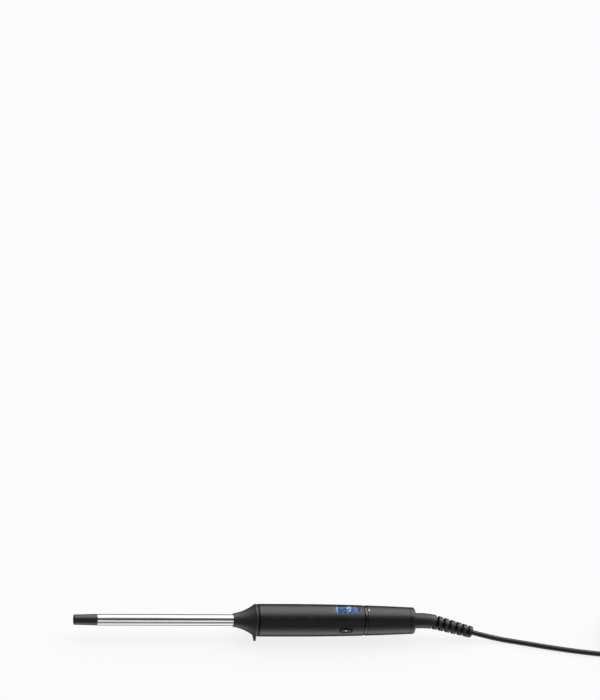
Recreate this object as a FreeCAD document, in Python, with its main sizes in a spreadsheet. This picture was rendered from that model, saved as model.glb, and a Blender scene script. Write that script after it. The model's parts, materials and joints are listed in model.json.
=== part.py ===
import FreeCAD, Part
import math
import os

import Sketcher

# Clipless curling wand, in millimetres, +Z up. The wand lies along X with its tip at -X and its lead at +X,
# its display on top, its power button at -Y and its rest foot below. The origin is on the surface that it
# rests on, below the middle of the wand. Stations are distances along the wand's axis from a plane just
# ahead of its tip.

os.makedirs("parts", exist_ok=True)
doc = FreeCAD.newDocument("curling_wand")

DIMENSIONS = {
    # the whole wand
    "middle_station": 165.9,
    "nose_start": 0.9,
    "rear_end": 332.5,
    "axis_height": 19.3,
    "fit_gap": 0.05,
    "running_gap": 0.08,
    # tip and barrel
    "nose_radius": 4.9,
    "barrel_radius": 5.5,
    "barrel_bore": 4.6,
    "barrel_start": 23.2,
    "barrel_end": 172,
    "spigot_length": 7,
    "cap_bore": 2.8,
    "cap_wall": 3,
    "nose_round": 0.5,
    # heater pack inside the barrel
    "shoe_start": 31,
    "shoe_length": 98,
    "shoe_radius": 4.5,
    "shoe_gap": 1.1,
    "heater_start": 42,
    "heater_length": 87,
    "heater_width": 7,
    "heater_thickness": 2,
    "sensor_start": 131,
    "sensor_length": 5,
    "sensor_radius": 0.9,
    "fuse_start": 145,
    "fuse_length": 9,
    "fuse_radius": 1.5,
    "fuse_lead_radius": 0.4,
    "fuse_height": 2.6,
    # barrel mount
    "mount_start": 166,
    "mount_radius": 6.5,
    "mount_flange": 12.4,
    "mount_flange_start": 176,
    "mount_flange_end": 177.5,
    "mount_screw_circle": 9.6,
    "mount_screw_radius": 1,
    "mount_screw_head": 1.7,
    "mount_screw_head_height": 1.5,
    "mount_screw_length": 3.2,
    # heat guard
    "guard_start": 155.2,
    "guard_neck_radius": 6.5,
    "guard_bore": 5.6,
    "guard_flare_radius": 45,
    "guard_bore_length": 8,
    "guard_cavity_neck": 6.6,
    "guard_cavity_radius": 13.1,
    "guard_cavity_end": 19.5,
    "guard_rim_start": 20.9,
    "guard_rim_radius": 15.6,
    "guard_length": 23.1,
    "rim_round": 0.7,
    "foot_width": 19,
    "foot_thickness": 2.2,
    "foot_round": 1,
    # handle outline: one long arc from the widest station to the rear end
    "handle_radius": 15.7,
    "taper_start": 210,
    "taper_radius": 2450,
    # grip sleeve
    "shell_start": 178.3,
    "shell_collar": 1.1,
    "shell_collar_radius": 14.7,
    "shell_bore": 13,
    "shell_end": 281.5,
    # display
    "display_station": 264.8,
    "lens_length": 25.2,
    "lens_width": 11,
    "lens_corner": 3,
    "window_corner": 0.5,
    "lens_proud": 0.25,
    "lens_step": 0.9,
    "lcd_length": 23,
    "lcd_width": 8.8,
    "lcd_top": 13,
    "lcd_thickness": 1.7,
    "backlight_thickness": 1.6,
    "pin_radius": 0.25,
    "pin_pitch": 2,
    # power button
    "button_station": 263.6,
    "button_length": 11.6,
    "button_width": 4.6,
    "button_face": 14.7,
    "button_back": 12.4,
    "recess_length": 13.2,
    "recess_width": 6.2,
    "recess_depth": 0.7,
    "button_hole_gap": 0.3,
    "button_flange_length": 14.4,
    "button_flange_width": 6.4,
    "button_flange_thickness": 1,
    "plunger_radius": 1.1,
    "plunger_back": 6.4,
    "switch_face": 7.4,
    "switch_back": 3.4,
    "switch_side": 6,
    "switch_bore": 1.4,
    "switch_bore_depth": 2,
    # chassis
    "chassis_radius": 12.9,
    "chassis_bore": 11.7,
    "chassis_start": 177.5,
    "chassis_end": 284.2,
    "bulkhead_thickness": 2.5,
    "wire_hole": 5.6,
    "boss_radius": 2.2,
    "boss_height": 6.6,
    "boss_side": 8.5,
    "front_boss_station": 184,
    "rear_boss_station": 274,
    "screw_shank": 0.95,
    "screw_hole": 1.05,
    "screw_depth": 5,
    "screw_head": 1.7,
    "screw_head_height": 1.2,
    "screw_head_hole": 2,
    "rail_width": 2,
    "rail_height": 1.4,
    "rail_side": 10.4,
    # control board
    "board_start": 187,
    "board_length": 82,
    "board_width": 20.4,
    "board_top": -2,
    "board_thickness": 1.6,
    # accent ring, dial and rear cap
    "accent_start": 281.7,
    "accent_end": 284.5,
    "accent_inset": 0.35,
    "dial_start": 284.7,
    "dial_end": 326.7,
    "dial_bore": 11.4,
    "dial_front_web": 288,
    "dial_web": 3,
    "dial_rear_web": 323.7,
    "cap_start": 327,
    "cap_counterbore": 328.9,
    "cap_hole": 7.8,
    "cap_round": 3.4,
    # swivel bearing tube, fixed in the chassis
    "tube_flange_start": 280.2,
    "tube_flange_end": 284.2,
    "tube_flange_radius": 11.65,
    "tube_radius": 9,
    "tube_bore": 7.7,
    "tube_wall_hole": 4.68,
    "tube_end": 328.9,
    # temperature setting
    "track_start": 294.5,
    "track_end": 295.7,
    "track_radius": 10.9,
    "wiper_start": 292,
    "wiper_end": 293.2,
    "wiper_bore": 9.6,
    # turning half of the cord's swivel
    "stem_start": 275.5,
    "stem_radius": 4.6,
    "stem_bore": 2.6,
    "stem_groove_start": 276.8,
    "stem_groove_end": 278.2,
    "stem_groove_radius": 3.9,
    "clip_thickness": 1.2,
    "clip_radius": 5.6,
    "brush_wire_side": 6.4,
    "brush_wire_way": 0.7,
    "journal_start": 309,
    "journal_end": 321,
    "slip_ring_radius": 5.6,
    "slip_ring_width": 3,
    "first_slip_ring": 290,
    "slip_ring_pitch": 8,
    "brush_gap": 0.1,
    "brush_length": 2.4,
    # strain relief: a straight neck, a bend and a ribbed cone
    "boot_radius": 7.4,
    "boot_neck_length": 19,
    "boot_bend_radius": 55,
    "boot_bend_angle": 15.4,
    "boot_roll": 20,
    "boot_cone_length": 36.5,
    "boot_tip_radius": 5.6,
    "slot_start": -1.6,
    "slot_pitch": 6.46,
    "slot_width": 1.9,
    "slot_core_radius": 3.2,
    "web_half_width": 1.4,
    # lead
    "cord_radius": 2.5,
    "coil_station": 558,
    "coil_outer": 35,
    "coil_inner": 25,
    "coil_height": 20,
    "tie_width": 12,
    "tie_thickness": 0.7,
    # plug
    "plug_station": 634,
    "plug_side": -17,
    "plug_length": 36,
    "plug_width": 34,
    "plug_waist": 22,
    "plug_height": 13.6,
    "plug_round": 3,
    "plug_boot_length": 14,
    "plug_boot_radius": 5,
    "plug_boot_tip": 3.6,
    "plug_pin_radius": 2,
    "plug_pin_length": 19,
    "plug_pin_spacing": 19,
}

sheet = doc.addObject("Spreadsheet::Sheet", "dims")
for row, (alias, size) in enumerate(DIMENSIONS.items(), start=1):
    sheet.set(f"A{row}", alias)
    sheet.set(f"B{row}", str(size))
    sheet.setAlias(f"B{row}", alias)
doc.recompute()


def bound(text):
    """A size as an expression on the sheet: every name in it that is a cell's alias gets the sheet's name."""
    words = []
    for word in text.split():
        words.append("dims." + word if word in DIMENSIONS else word)
    return " ".join(words)


gauge = doc.addObject("App::FeaturePython", "gauge")
gauge.addProperty("App::PropertyFloat", "reading")


def value(text):
    """A size as a number: what an expression on the sheet reads on the gauge."""
    gauge.setExpression("reading", bound(text))
    gauge.recompute()
    return gauge.reading


def handle(station):
    """The handle's outer radius at a station, on its one long arc."""
    return f"handle_radius - taper_radius + sqrt( taper_radius ^ 2 - ( {station} - taper_start ) ^ 2 )"


DATUM = "0 - middle_station"


# ---- helpers -------------------------------------------------------------------------------------------


def place(part, station, side="0", height="0"):
    """Puts a part's own origin at a station of the wand, off its axis by side and height."""
    part.setExpression(".Placement.Base.x", bound(f"{DATUM} + {station}"))
    part.setExpression(".Placement.Base.y", bound(side))
    part.setExpression(".Placement.Base.z", bound(f"axis_height + {height}"))
    return part


def new_body(label):
    body = doc.addObject("PartDesign::Body", label)
    body.Label = label
    return body


def new_sketch(body, role, name, offset="0"):
    sketch = body.newObject("Sketcher::SketchObject", name)
    plane = next(f for f in body.Origin.OriginFeatures if f.Role == role)
    sketch.AttachmentSupport = (plane, "")
    sketch.MapMode = "FlatFace"
    sketch.setExpression(".AttachmentOffset.Base.z", bound(offset))
    return sketch


def fix_point(sketch, element, end, across, up):
    """Holds one end of an element at a distance from the sketch's origin along each of its axes."""
    for kind, size in (("DistanceX", across), ("DistanceY", up)):
        number = sketch.addConstraint(Sketcher.Constraint(kind, -1, 1, element, end, value(size)))
        sketch.setExpression(f"Constraints[{number}]", bound(size))


def draw_outline(sketch, corners):
    """A closed outline through corners, each (across, up), or (across, up, radius) where the stretch to the
    next corner is an arc of that radius that bulges to the left of the way it is drawn."""
    spots = [FreeCAD.Vector(value(c[0]), value(c[1]), 0) for c in corners]
    first = len(sketch.Geometry)
    for i, corner in enumerate(corners):
        start, end = spots[i], spots[(i + 1) % len(spots)]
        if len(corner) == 2:
            sketch.addGeometry(Part.LineSegment(start, end))
            continue
        chord = end - start
        left = FreeCAD.Vector(-chord.y, chord.x, 0).normalize()
        radius = value(corner[2])
        rise = radius - math.sqrt(radius**2 - chord.Length**2 / 4)
        middle = (start + end) / 2 + left * rise
        sketch.addGeometry(Part.Arc(start, middle, end))
        number = sketch.addConstraint(Sketcher.Constraint("Radius", first + i, radius))
        sketch.setExpression(f"Constraints[{number}]", bound(corner[2]))
    for i, corner in enumerate(corners):
        # an arc's stored ends run anticlockwise, so one that bulges to the left starts at its far end
        begins = 1 if len(corner) == 2 else 2
        previous = (i - 1) % len(corners)
        ends = 2 if len(corners[previous]) == 2 else 1
        sketch.addConstraint(Sketcher.Constraint("Coincident", first + previous, ends, first + i, begins))
        fix_point(sketch, first + i, begins, corner[0], corner[1])


def draw_box(sketch, length, width, across="0", up="0"):
    """A rectangle about a centre."""
    left, right = f"{across} - ( {length} ) / 2", f"{across} + ( {length} ) / 2"
    low, high = f"{up} - ( {width} ) / 2", f"{up} + ( {width} ) / 2"
    draw_outline(sketch, [(left, low), (right, low), (right, high), (left, high)])


def draw_oblong(sketch, length, width):
    """A slot shape along the sketch's own X, with half-round ends."""
    flat, half = f"( {length} - ( {width} ) ) / 2", f"( {width} ) / 2"
    low, high = f"0 - {half}", half
    ends = [(f"0 - {flat}", low), (flat, low), (flat, high), (f"0 - {flat}", high)]
    spots = [FreeCAD.Vector(value(x), value(y), 0) for x, y in ends]
    reach = FreeCAD.Vector(value(f"( {length} ) / 2"), 0, 0)
    sketch.addGeometry(Part.LineSegment(spots[0], spots[1]))
    sketch.addGeometry(Part.Arc(spots[1], reach, spots[2]))
    sketch.addGeometry(Part.LineSegment(spots[2], spots[3]))
    sketch.addGeometry(Part.Arc(spots[3], -reach, spots[0]))
    for element in range(4):
        following = (element + 1) % 4
        sketch.addConstraint(Sketcher.Constraint("Coincident", element, 2, following, 1))
        fix_point(sketch, element, 1, *ends[element])
    for arc, centre in ((1, flat), (3, f"0 - {flat}")):
        number = sketch.addConstraint(Sketcher.Constraint("DistanceX", -1, 1, arc, 3, value(centre)))
        sketch.setExpression(f"Constraints[{number}]", bound(centre))


def draw_circle(sketch, radius, across="0", up="0"):
    centre = FreeCAD.Vector(value(across), value(up), 0)
    element = sketch.addGeometry(Part.Circle(centre, FreeCAD.Vector(0, 0, 1), value(radius)))
    fix_point(sketch, element, 3, across, up)
    number = sketch.addConstraint(Sketcher.Constraint("Radius", element, value(radius)))
    sketch.setExpression(f"Constraints[{number}]", bound(radius))


def feature(body, kind, name, sketch):
    made = body.newObject("PartDesign::" + kind, name)
    made.Profile = sketch
    sketch.Visibility = False
    body.Tip = made
    return made


def turn(body, corners, name="wall", angle=360, plane="XZ_Plane"):
    """Revolves an outline of (distance along the axis, radius) about the body's X axis."""
    sketch = new_sketch(body, plane, f"{body.Name}_{name}_outline")
    draw_outline(sketch, corners)
    made = feature(body, "Revolution", f"{body.Name}_{name}", sketch)
    made.ReferenceAxis = (sketch, ["H_Axis"])
    made.Angle = angle
    return made


def pad(body, sketch, name, length, both=False, down=False):
    made = feature(body, "Pad", f"{body.Name}_{name}", sketch)
    made.setExpression("Length", bound(length))
    made.Midplane = both
    made.Reversed = down
    return made


def cut(body, sketch, name, length, down=False):
    """A pocket from a sketch's plane, along the plane's normal or, if down, against it."""
    made = feature(body, "Pocket", f"{body.Name}_{name}", sketch)
    made.setExpression("Length", bound(length))
    made.Reversed = not down
    return made


def round_edges(body, name, radius, chosen):
    """Rounds the edges of a body's last feature that the test chooses."""
    doc.recompute()
    base = body.Tip
    edges = [f"Edge{i}" for i, edge in enumerate(base.Shape.Edges, start=1) if chosen(edge)]
    made = body.newObject("PartDesign::Fillet", f"{body.Name}_{name}")
    made.Base = (base, edges)
    made.setExpression("Radius", bound(radius))
    body.Tip = made
    return made


def is_ring(edge, radius, along):
    """True for a full circle about the body's X axis, of a radius, at a distance along it."""
    if edge.Curve.TypeId != "Part::GeomCircle":
        return False
    same = abs(edge.Curve.Radius - value(radius)) < 0.01
    return same and abs(edge.Curve.Center.x - value(along)) < 0.01


def ring_body(label, station, length, inner, outer):
    """A plain ring or tube about the wand's axis."""
    body = new_body(label)
    turn(body, [("0", inner), (length, inner), (length, outer), ("0", outer)])
    return place(body, station)


def box_part(label, station, length, width, height, side="0", base="0"):
    """A box that starts at a station, centred on side and standing on base."""
    part = doc.addObject("Part::Box", label)
    part.Label = label
    part.setExpression("Length", bound(length))
    part.setExpression("Width", bound(width))
    part.setExpression("Height", bound(height))
    return place(part, station, f"{side} - ( {width} ) / 2", base)


def rod(name, radius, length):
    """A cylinder from its own origin along X."""
    part = doc.addObject("Part::Cylinder", name)
    part.setExpression("Radius", bound(radius))
    part.setExpression("Height", bound(length))
    part.Placement.Rotation = FreeCAD.Rotation(FreeCAD.Vector(0, 1, 0), 90)
    return part


def group(label, pieces):
    """Separate solids of one kind in one node."""
    part = doc.addObject("Part::Compound", label)
    part.Label = label
    part.Links = pieces
    return part


def bent_path(points):
    """Straight runs joined by tangent arcs, each arc as large as its two runs allow, and the arcs' radii."""
    edges, radii = [], []
    start = points[0]
    for before, corner, after in zip(points, points[1:], points[2:]):
        back, ahead = before - corner, after - corner
        trim = 0.45 * min(back.Length, ahead.Length)
        back.normalize()
        ahead.normalize()
        half_turn = (math.pi - back.getAngle(ahead)) / 2
        radius = trim / math.tan(half_turn)
        inward = (back + ahead).normalize()
        middle = corner + inward * (radius / math.cos(half_turn) - radius)
        edges.append(Part.LineSegment(start, corner + back * trim).toShape())
        edges.append(Part.Arc(corner + back * trim, middle, corner + ahead * trim).toShape())
        radii.append(radius)
        start = corner + ahead * trim
    edges.append(Part.LineSegment(start, points[-1]).toShape())
    return Part.Wire(edges), radii


def lead(label, points, radius):
    """A round lead along a route of points. Its path has an arc at every bend, which no primitive holds."""
    path, radii = bent_path(points)
    ring = Part.Wire(Part.Circle(points[0], points[1] - points[0], radius).toShape())
    part = doc.addObject("Part::Feature", label)
    part.Label = label
    part.Shape = path.makePipeShell([ring], True, False)
    ideal = math.pi * radius**2 * path.Length
    bends = ", ".join(f"{r:.1f}" for r in radii)
    print(f"{label}: {path.Length:.1f} long, volume {part.Shape.Volume / ideal:.4f} of ideal, radii {bends}")
    return part


def wand_point(station, side, height):
    """A point of the wand from its station and its place off the axis."""
    return FreeCAD.Vector(value(DATUM) + station, side, value("axis_height") + height)


# ---- tip and barrel --------------------------------------------------------------------------------------


def make_tip_cap():
    body = new_body("tip_cap")
    joint = "( barrel_start - nose_start )"
    spigot, end = "( barrel_bore - fit_gap )", f"{joint} + spigot_length"
    turn(body, [("0", "0"), ("0", "nose_radius"), (joint, "barrel_radius"), (joint, spigot),
                (end, spigot), (end, "cap_bore"), ("cap_wall", "cap_bore"), ("cap_wall", "0")])
    round_edges(body, "nose", "nose_round", lambda edge: is_ring(edge, "nose_radius", "0"))
    place(body, "nose_start")


def make_barrel():
    ring_body("barrel", "barrel_start", "( barrel_end - barrel_start )", "barrel_bore", "barrel_radius")


# ---- heater pack -----------------------------------------------------------------------------------------


def make_heat_shoe(label, above):
    """Half of the heater's round core: a rod cut flat where it presses on the element."""
    core = rod(label + "_core", "shoe_radius", "shoe_length")
    keep = doc.addObject("Part::Box", label + "_half")
    keep.setExpression("Length", bound("shoe_length"))
    keep.setExpression("Width", bound("2 * shoe_radius"))
    keep.setExpression("Height", bound("shoe_radius"))
    keep.setExpression(".Placement.Base.y", bound("0 - shoe_radius"))
    keep.setExpression(".Placement.Base.z", bound("shoe_gap" if above else "0 - shoe_gap - shoe_radius"))
    shoe = doc.addObject("Part::Common", label)
    shoe.Label = label
    shoe.Base = core
    shoe.Tool = keep
    place(shoe, "shoe_start")


def make_heater_core():
    make_heat_shoe("heat_shoe_upper", True)
    make_heat_shoe("heat_shoe_lower", False)
    box_part("ceramic_heater", "heater_start", "heater_length", "heater_width", "heater_thickness",
             base="0 - heater_thickness / 2")
    bead = new_body("temperature_sensor")
    turn(bead, [("0", "0"), ("0", "sensor_radius / 2"), ("sensor_radius / 2", "sensor_radius"),
                ("sensor_length", "sensor_radius"), ("sensor_length", "0")])
    place(bead, "sensor_start")


def make_thermal_fuse():
    """A cylinder with a lead at each end, lying along the barrel's upper wall."""
    lead_length = 4
    body = new_body("thermal_fuse")
    end = f"fuse_length + {lead_length}"
    turn(body, [(f"0 - {lead_length}", "0"), (f"0 - {lead_length}", "fuse_lead_radius"),
                ("0", "fuse_lead_radius"), ("0", "fuse_radius"), ("fuse_length", "fuse_radius"),
                ("fuse_length", "fuse_lead_radius"), (end, "fuse_lead_radius"), (end, "0")])
    place(body, "fuse_start", height="fuse_height")


def make_inner_leads():
    """The pairs of wires: heater to board, sensor to board, and the swivel's brushes to the board."""
    board = value("board_top")
    heavy, fine = 0.7, 0.35
    pairs = {"heater_leads": [], "sensor_leads": []}
    for side in (-2.4, 2.4):
        route = [(129, side, 0), (165, side, 0), (184, side, board + heavy), (194, side, board + heavy)]
        pairs["heater_leads"].append((route, heavy))
    for side in (-0.7, 0.7):
        route = [(136, side, 0), (168, side, 0), (183, side, board + fine), (191, side, board + fine)]
        pairs["sensor_leads"].append((route, fine))
    for label, wires in pairs.items():
        pieces = [lead(f"{label}_{i}", [wand_point(*spot) for spot in route], size)
                  for i, (route, size) in enumerate(wires)]
        group(label, pieces)


# ---- barrel mount and heat guard -----------------------------------------------------------------------------


def make_barrel_mount():
    """A steel sleeve on the barrel's end with a flange that three screws hold to the chassis."""
    body = new_body("barrel_mount")
    bore = "( barrel_radius + fit_gap )"
    flange, end = "( mount_flange_start - mount_start )", "( mount_flange_end - mount_start )"
    turn(body, [("0", bore), (end, bore), (end, "mount_flange"), (flange, "mount_flange"),
                (flange, "mount_radius"), ("0", "mount_radius")])
    holes = new_sketch(body, "YZ_Plane", "barrel_mount_hole_plan", flange)
    draw_circle(holes, "mount_screw_radius + fit_gap", "0", "mount_screw_circle")
    hole = cut(body, holes, "hole", "mount_flange_end - mount_flange_start + 1")
    repeat_round(body, hole, "mount_holes")
    place(body, "mount_start")


def repeat_round(body, made, name, count=3):
    """Repeats a body's feature about its X axis."""
    pattern = body.newObject("PartDesign::PolarPattern", f"{body.Name}_{name}")
    pattern.Originals = [made]
    axis = next(f for f in body.Origin.OriginFeatures if f.Role == "X_Axis")
    pattern.Axis = (axis, [""])
    pattern.Angle = 360
    pattern.Occurrences = count
    body.Tip = pattern
    return pattern


def make_mount_screws():
    screws = []
    for i in range(3):
        body = new_body(f"mount_screw_{i}")
        turn(body, [("0", "0"), ("0", "mount_screw_head"), ("mount_screw_head_height", "mount_screw_head"),
                    ("mount_screw_head_height", "mount_screw_radius"),
                    ("mount_screw_head_height + mount_screw_length", "mount_screw_radius"),
                    ("mount_screw_head_height + mount_screw_length", "0")])
        angle = 90 + 120 * i
        place(body, "mount_flange_start - mount_screw_head_height",
              f"mount_screw_circle * cos( {angle} )", f"mount_screw_circle * sin( {angle} )")
        screws.append(body)
    group("mount_screws", screws)


def make_guard_cone():
    """The heat guard: a neck that flares out to a flat rim, hollow behind, with the rest foot on its rim."""
    body = new_body("guard_cone")
    turn(body, [("0", "guard_bore"), ("guard_bore_length", "guard_bore"),
                ("guard_bore_length", "guard_cavity_neck"), ("guard_cavity_end", "guard_cavity_radius"),
                ("guard_length", "guard_cavity_radius"), ("guard_length", "guard_rim_radius"),
                ("guard_rim_start", "guard_rim_radius", "guard_flare_radius"),
                ("0", "guard_neck_radius")])
    round_edges(body, "rim", "rim_round", lambda edge: is_ring(edge, "guard_rim_radius", "guard_length")
                or is_ring(edge, "guard_rim_radius", "guard_rim_start"))
    foot = new_sketch(body, "YZ_Plane", "guard_foot_plan", "guard_length - foot_thickness")
    # the foot starts inside the rim's wall, so the cavity behind the rim stays clear
    top = "0 - guard_cavity_radius - 0.6"
    draw_box(foot, "foot_width", "axis_height - guard_cavity_radius - 0.6", "0",
             f"( 0 - axis_height + {top} ) / 2")
    pad(body, foot, "foot", "foot_thickness")
    doc.recompute()
    low = -value("axis_height")
    round_edges(body, "foot_corners", "foot_round", lambda edge: is_foot_corner(edge, low))
    place(body, "guard_start")


def is_foot_corner(edge, low):
    """True for the two short edges along X at the foot's lowest corners."""
    if edge.Curve.TypeId != "Part::GeomLine":
        return False
    ends = [vertex.Point for vertex in edge.Vertexes]
    return abs(ends[0].x - ends[1].x) > 1 and all(abs(end.z - low) < 0.01 for end in ends)


# ---- grip sleeve and display -----------------------------------------------------------------------------


def oblong_block(name, length, width, near, far):
    """An oblong plug along Y at -Y, from the wand's axis distance near to far, long along X."""
    body = new_body(name)
    sketch = new_sketch(body, "XZ_Plane", name + "_plan", near)
    draw_oblong(sketch, length, width)
    pad(body, sketch, "block", f"( {far} ) - ( {near} )")
    return body


def window_block(name, length, width, corner, near, far):
    """A rectangular plug with rounded corners along +Z, from the height near to far above the axis."""
    body = new_body(name)
    sketch = new_sketch(body, "XY_Plane", name + "_plan", near)
    draw_box(sketch, length, width)
    pad(body, sketch, "block", f"( {far} ) - ( {near} )")
    reach = abs(value(f"( {length} ) / 2")) - 0.01
    round_edges(body, "corners", corner, lambda edge: is_upright(edge, reach))
    return body


def is_upright(edge, reach):
    """True for an edge along Z at the corners of a block that reaches that far along X."""
    ends = [vertex.Point for vertex in edge.Vertexes]
    return len(ends) == 2 and abs(ends[0].z - ends[1].z) > 0.5 and abs(ends[0].x) > reach


def handle_skin(name, inward, outward, start="display_station - 20", end="display_station + 20"):
    """A thin layer that follows the handle's outer surface, to trim a flush piece."""
    body = new_body(name)
    length = f"( {end} - ( {start} ) )"
    turn(body, [("0", f"{handle(start)} - {inward}"), (length, f"{handle(end)} - {inward}"),
                (length, f"{handle(end)} + {outward}"), ("0", f"{handle(start)} + {outward}")])
    return place(body, start)


def cut_part(label, base, tools):
    """A base with one or more tools taken away."""
    fused = tools[0]
    if len(tools) > 1:
        fused = doc.addObject("Part::MultiFuse", label + "_tools")
        fused.Shapes = tools
    part = doc.addObject("Part::Cut", label)
    part.Label = label
    part.Base = base
    part.Tool = fused
    return part


def make_front_shell():
    """The grip: a one-piece sleeve with the display's window on top and the button's recess at its side."""
    body = new_body("front_shell_sleeve")
    length = "( shell_end - shell_start )"
    turn(body, [("0", "shell_bore"), (length, "shell_bore"), (length, handle("shell_end"), "taper_radius"),
                ("taper_start - shell_start", "handle_radius"), ("shell_collar", "handle_radius"),
                ("shell_collar", "shell_collar_radius"), ("0", "shell_collar_radius")])
    place(body, "shell_start")
    seat = window_block("lens_seat_cut", "lens_length + 2 * fit_gap", "lens_width + 2 * fit_gap",
                        "lens_corner", "10", "20")
    seat_floor = handle_skin("lens_seat_layer", "lens_step", "4")
    seat_cut = common("lens_seat_cutter", place(seat, "display_station"), seat_floor)
    window = window_block("window_cut", "lens_length - 2 * lens_step", "lens_width - 2 * lens_step",
                          "window_corner", "8", "20")
    recess = oblong_block("recess_cut", "recess_length", "recess_width",
                          "button_face + 0.35 - recess_depth", "20")
    hole = oblong_block("button_hole_cut", "button_length + 2 * button_hole_gap",
                        "button_width + 2 * button_hole_gap", "8", "20")
    cutters = [seat_cut, place(window, "display_station"), place(recess, "button_station"),
               place(hole, "button_station")]
    cut_part("front_shell", body, cutters)


def common(label, base, tool):
    part = doc.addObject("Part::Common", label)
    part.Label = label
    part.Base = base
    part.Tool = tool
    return part


def make_display():
    """The window lies in the grip's seat and stands a little proud of it; the display lies under it."""
    block = window_block("lens_block", "lens_length", "lens_width", "lens_corner", "10", "20")
    layer = handle_skin("lens_layer", "lens_step", "lens_proud")
    common("display_lens", place(block, "display_station"), layer)
    start = "display_station - lcd_length / 2"
    glass = "lcd_top - lcd_thickness"
    box_part("lcd_panel", start, "lcd_length", "lcd_width", "lcd_thickness", base=glass)
    light = f"{glass} - backlight_thickness"
    box_part("backlight", start, "lcd_length", "lcd_width", "backlight_thickness", base=light)
    pins = []
    for i in range(8):
        pin = doc.addObject("Part::Cylinder", f"display_pin_{i}")
        pin.setExpression("Radius", bound("pin_radius"))
        pin.setExpression("Height", bound(f"{light} - board_top"))
        side = "lcd_width / 2 - 0.5" if i % 2 else "0.5 - lcd_width / 2"
        pins.append(place(pin, f"display_station - 10.8 + {i // 2} * pin_pitch", side, "board_top"))
    group("display_pins", pins)


# ---- power button and its switch -----------------------------------------------------------------------------


def make_power_button():
    """An oblong button with a flange behind the grip's hole and a stem that reaches the switch's plunger."""
    face = oblong_block("button_cap", "button_length", "button_width", "button_back", "button_face")
    flange = oblong_block("button_flange", "button_flange_length", "button_flange_width",
                          "button_back - button_flange_thickness", "button_back")
    stem = doc.addObject("Part::Cylinder", "button_stem")
    stem.setExpression("Radius", bound("plunger_radius"))
    stem.setExpression("Height", bound("button_back - button_flange_thickness - switch_face - 0.8"))
    stem.Placement.Rotation = FreeCAD.Rotation(FreeCAD.Vector(1, 0, 0), -90)
    place(stem, "button_station", "0 - button_back + button_flange_thickness")
    button = doc.addObject("Part::MultiFuse", "power_button")
    button.Label = "power_button"
    button.Shapes = [place(face, "button_station"), place(flange, "button_station"), stem]


def make_power_switch():
    """A side-acting switch on the board: a block with a bore that its plunger slides in."""
    block = doc.addObject("Part::Box", "switch_block")
    block.setExpression("Length", bound("switch_side"))
    block.setExpression("Width", bound("switch_face - switch_back"))
    block.setExpression("Height", bound("0 - 2 * board_top"))
    place(block, "button_station - switch_side / 2", "0 - switch_face", "board_top")
    bore = doc.addObject("Part::Cylinder", "switch_bore_cut")
    bore.setExpression("Radius", bound("switch_bore"))
    bore.setExpression("Height", bound("switch_bore_depth"))
    bore.Placement.Rotation = FreeCAD.Rotation(FreeCAD.Vector(1, 0, 0), -90)
    place(bore, "button_station", "0 - switch_face")
    cut_part("power_switch", block, [bore])
    plunger = doc.addObject("Part::Cylinder", "switch_plunger")
    plunger.Label = "switch_plunger"
    plunger.setExpression("Radius", bound("plunger_radius"))
    plunger.setExpression("Height", bound("switch_face + 0.8 - plunger_back"))
    plunger.Placement.Rotation = FreeCAD.Rotation(FreeCAD.Vector(1, 0, 0), -90)
    place(plunger, "button_station", "0 - switch_face - 0.8")


# ---- chassis and control board -------------------------------------------------------------------------------


def make_chassis_half(label, up):
    """Half a tube with a bulkhead that carries the barrel mount, and bosses for the screws that join it."""
    body = new_body(label + "_moulding")
    length = "( chassis_end - chassis_start )"
    corners = [("0", "wire_hole"), ("bulkhead_thickness", "wire_hole"),
               ("bulkhead_thickness", "chassis_bore"), (length, "chassis_bore"),
               (length, "chassis_radius"), ("0", "chassis_radius")]
    wall = turn(body, corners, angle=180, plane="XY_Plane")
    wall.Reversed = not up
    bosses = new_sketch(body, "XY_Plane", f"{body.Name}_boss_plan")
    for station in ("front_boss_station", "rear_boss_station"):
        for side in ("boss_side", "0 - boss_side"):
            draw_circle(bosses, "boss_radius", f"{station} - chassis_start", side)
    pad(body, bosses, "bosses", "boss_height", down=not up)
    if not up:
        rails = new_sketch(body, "XY_Plane", f"{body.Name}_rail_plan", "board_top - board_thickness")
        middle = "board_start + board_length / 2 - chassis_start"
        draw_box(rails, "board_length", "rail_width", middle, "rail_side")
        draw_box(rails, "board_length", "rail_width", middle, "0 - rail_side")
        pad(body, rails, "rails", "rail_height", down=True)
    place(body, "chassis_start")
    cutters = [place(display_opening(label), "display_station"), place(button_opening(label), "button_station")]
    for station in ("front_boss_station", "rear_boss_station"):
        for side in ("boss_side", "0 - boss_side"):
            cutters += screw_cutters(f"{label}_{station}_{len(cutters)}", station, side, up)
    for i in range(3):
        angle = 90 + 120 * i
        hole = rod(f"{label}_mount_hole_{i}", "mount_screw_radius", "mount_screw_length")
        cutters.append(place(hole, "chassis_start - 1", f"mount_screw_circle * cos( {angle} )",
                             f"mount_screw_circle * sin( {angle} )"))
    cut_part(label, body, cutters)


def display_opening(label):
    """Room in the upper half for the display and its light; it is clear of the lower half."""
    return window_block(label + "_display_cut", "lcd_length + 0.6", "lcd_width + 0.6", "0.5", "5", "16")


def button_opening(label):
    """Room at the side for the button's flange over its whole travel."""
    return oblong_block(label + "_button_cut", "button_flange_length + 0.8", "button_flange_width + 0.8",
                        "7", "16")


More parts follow.
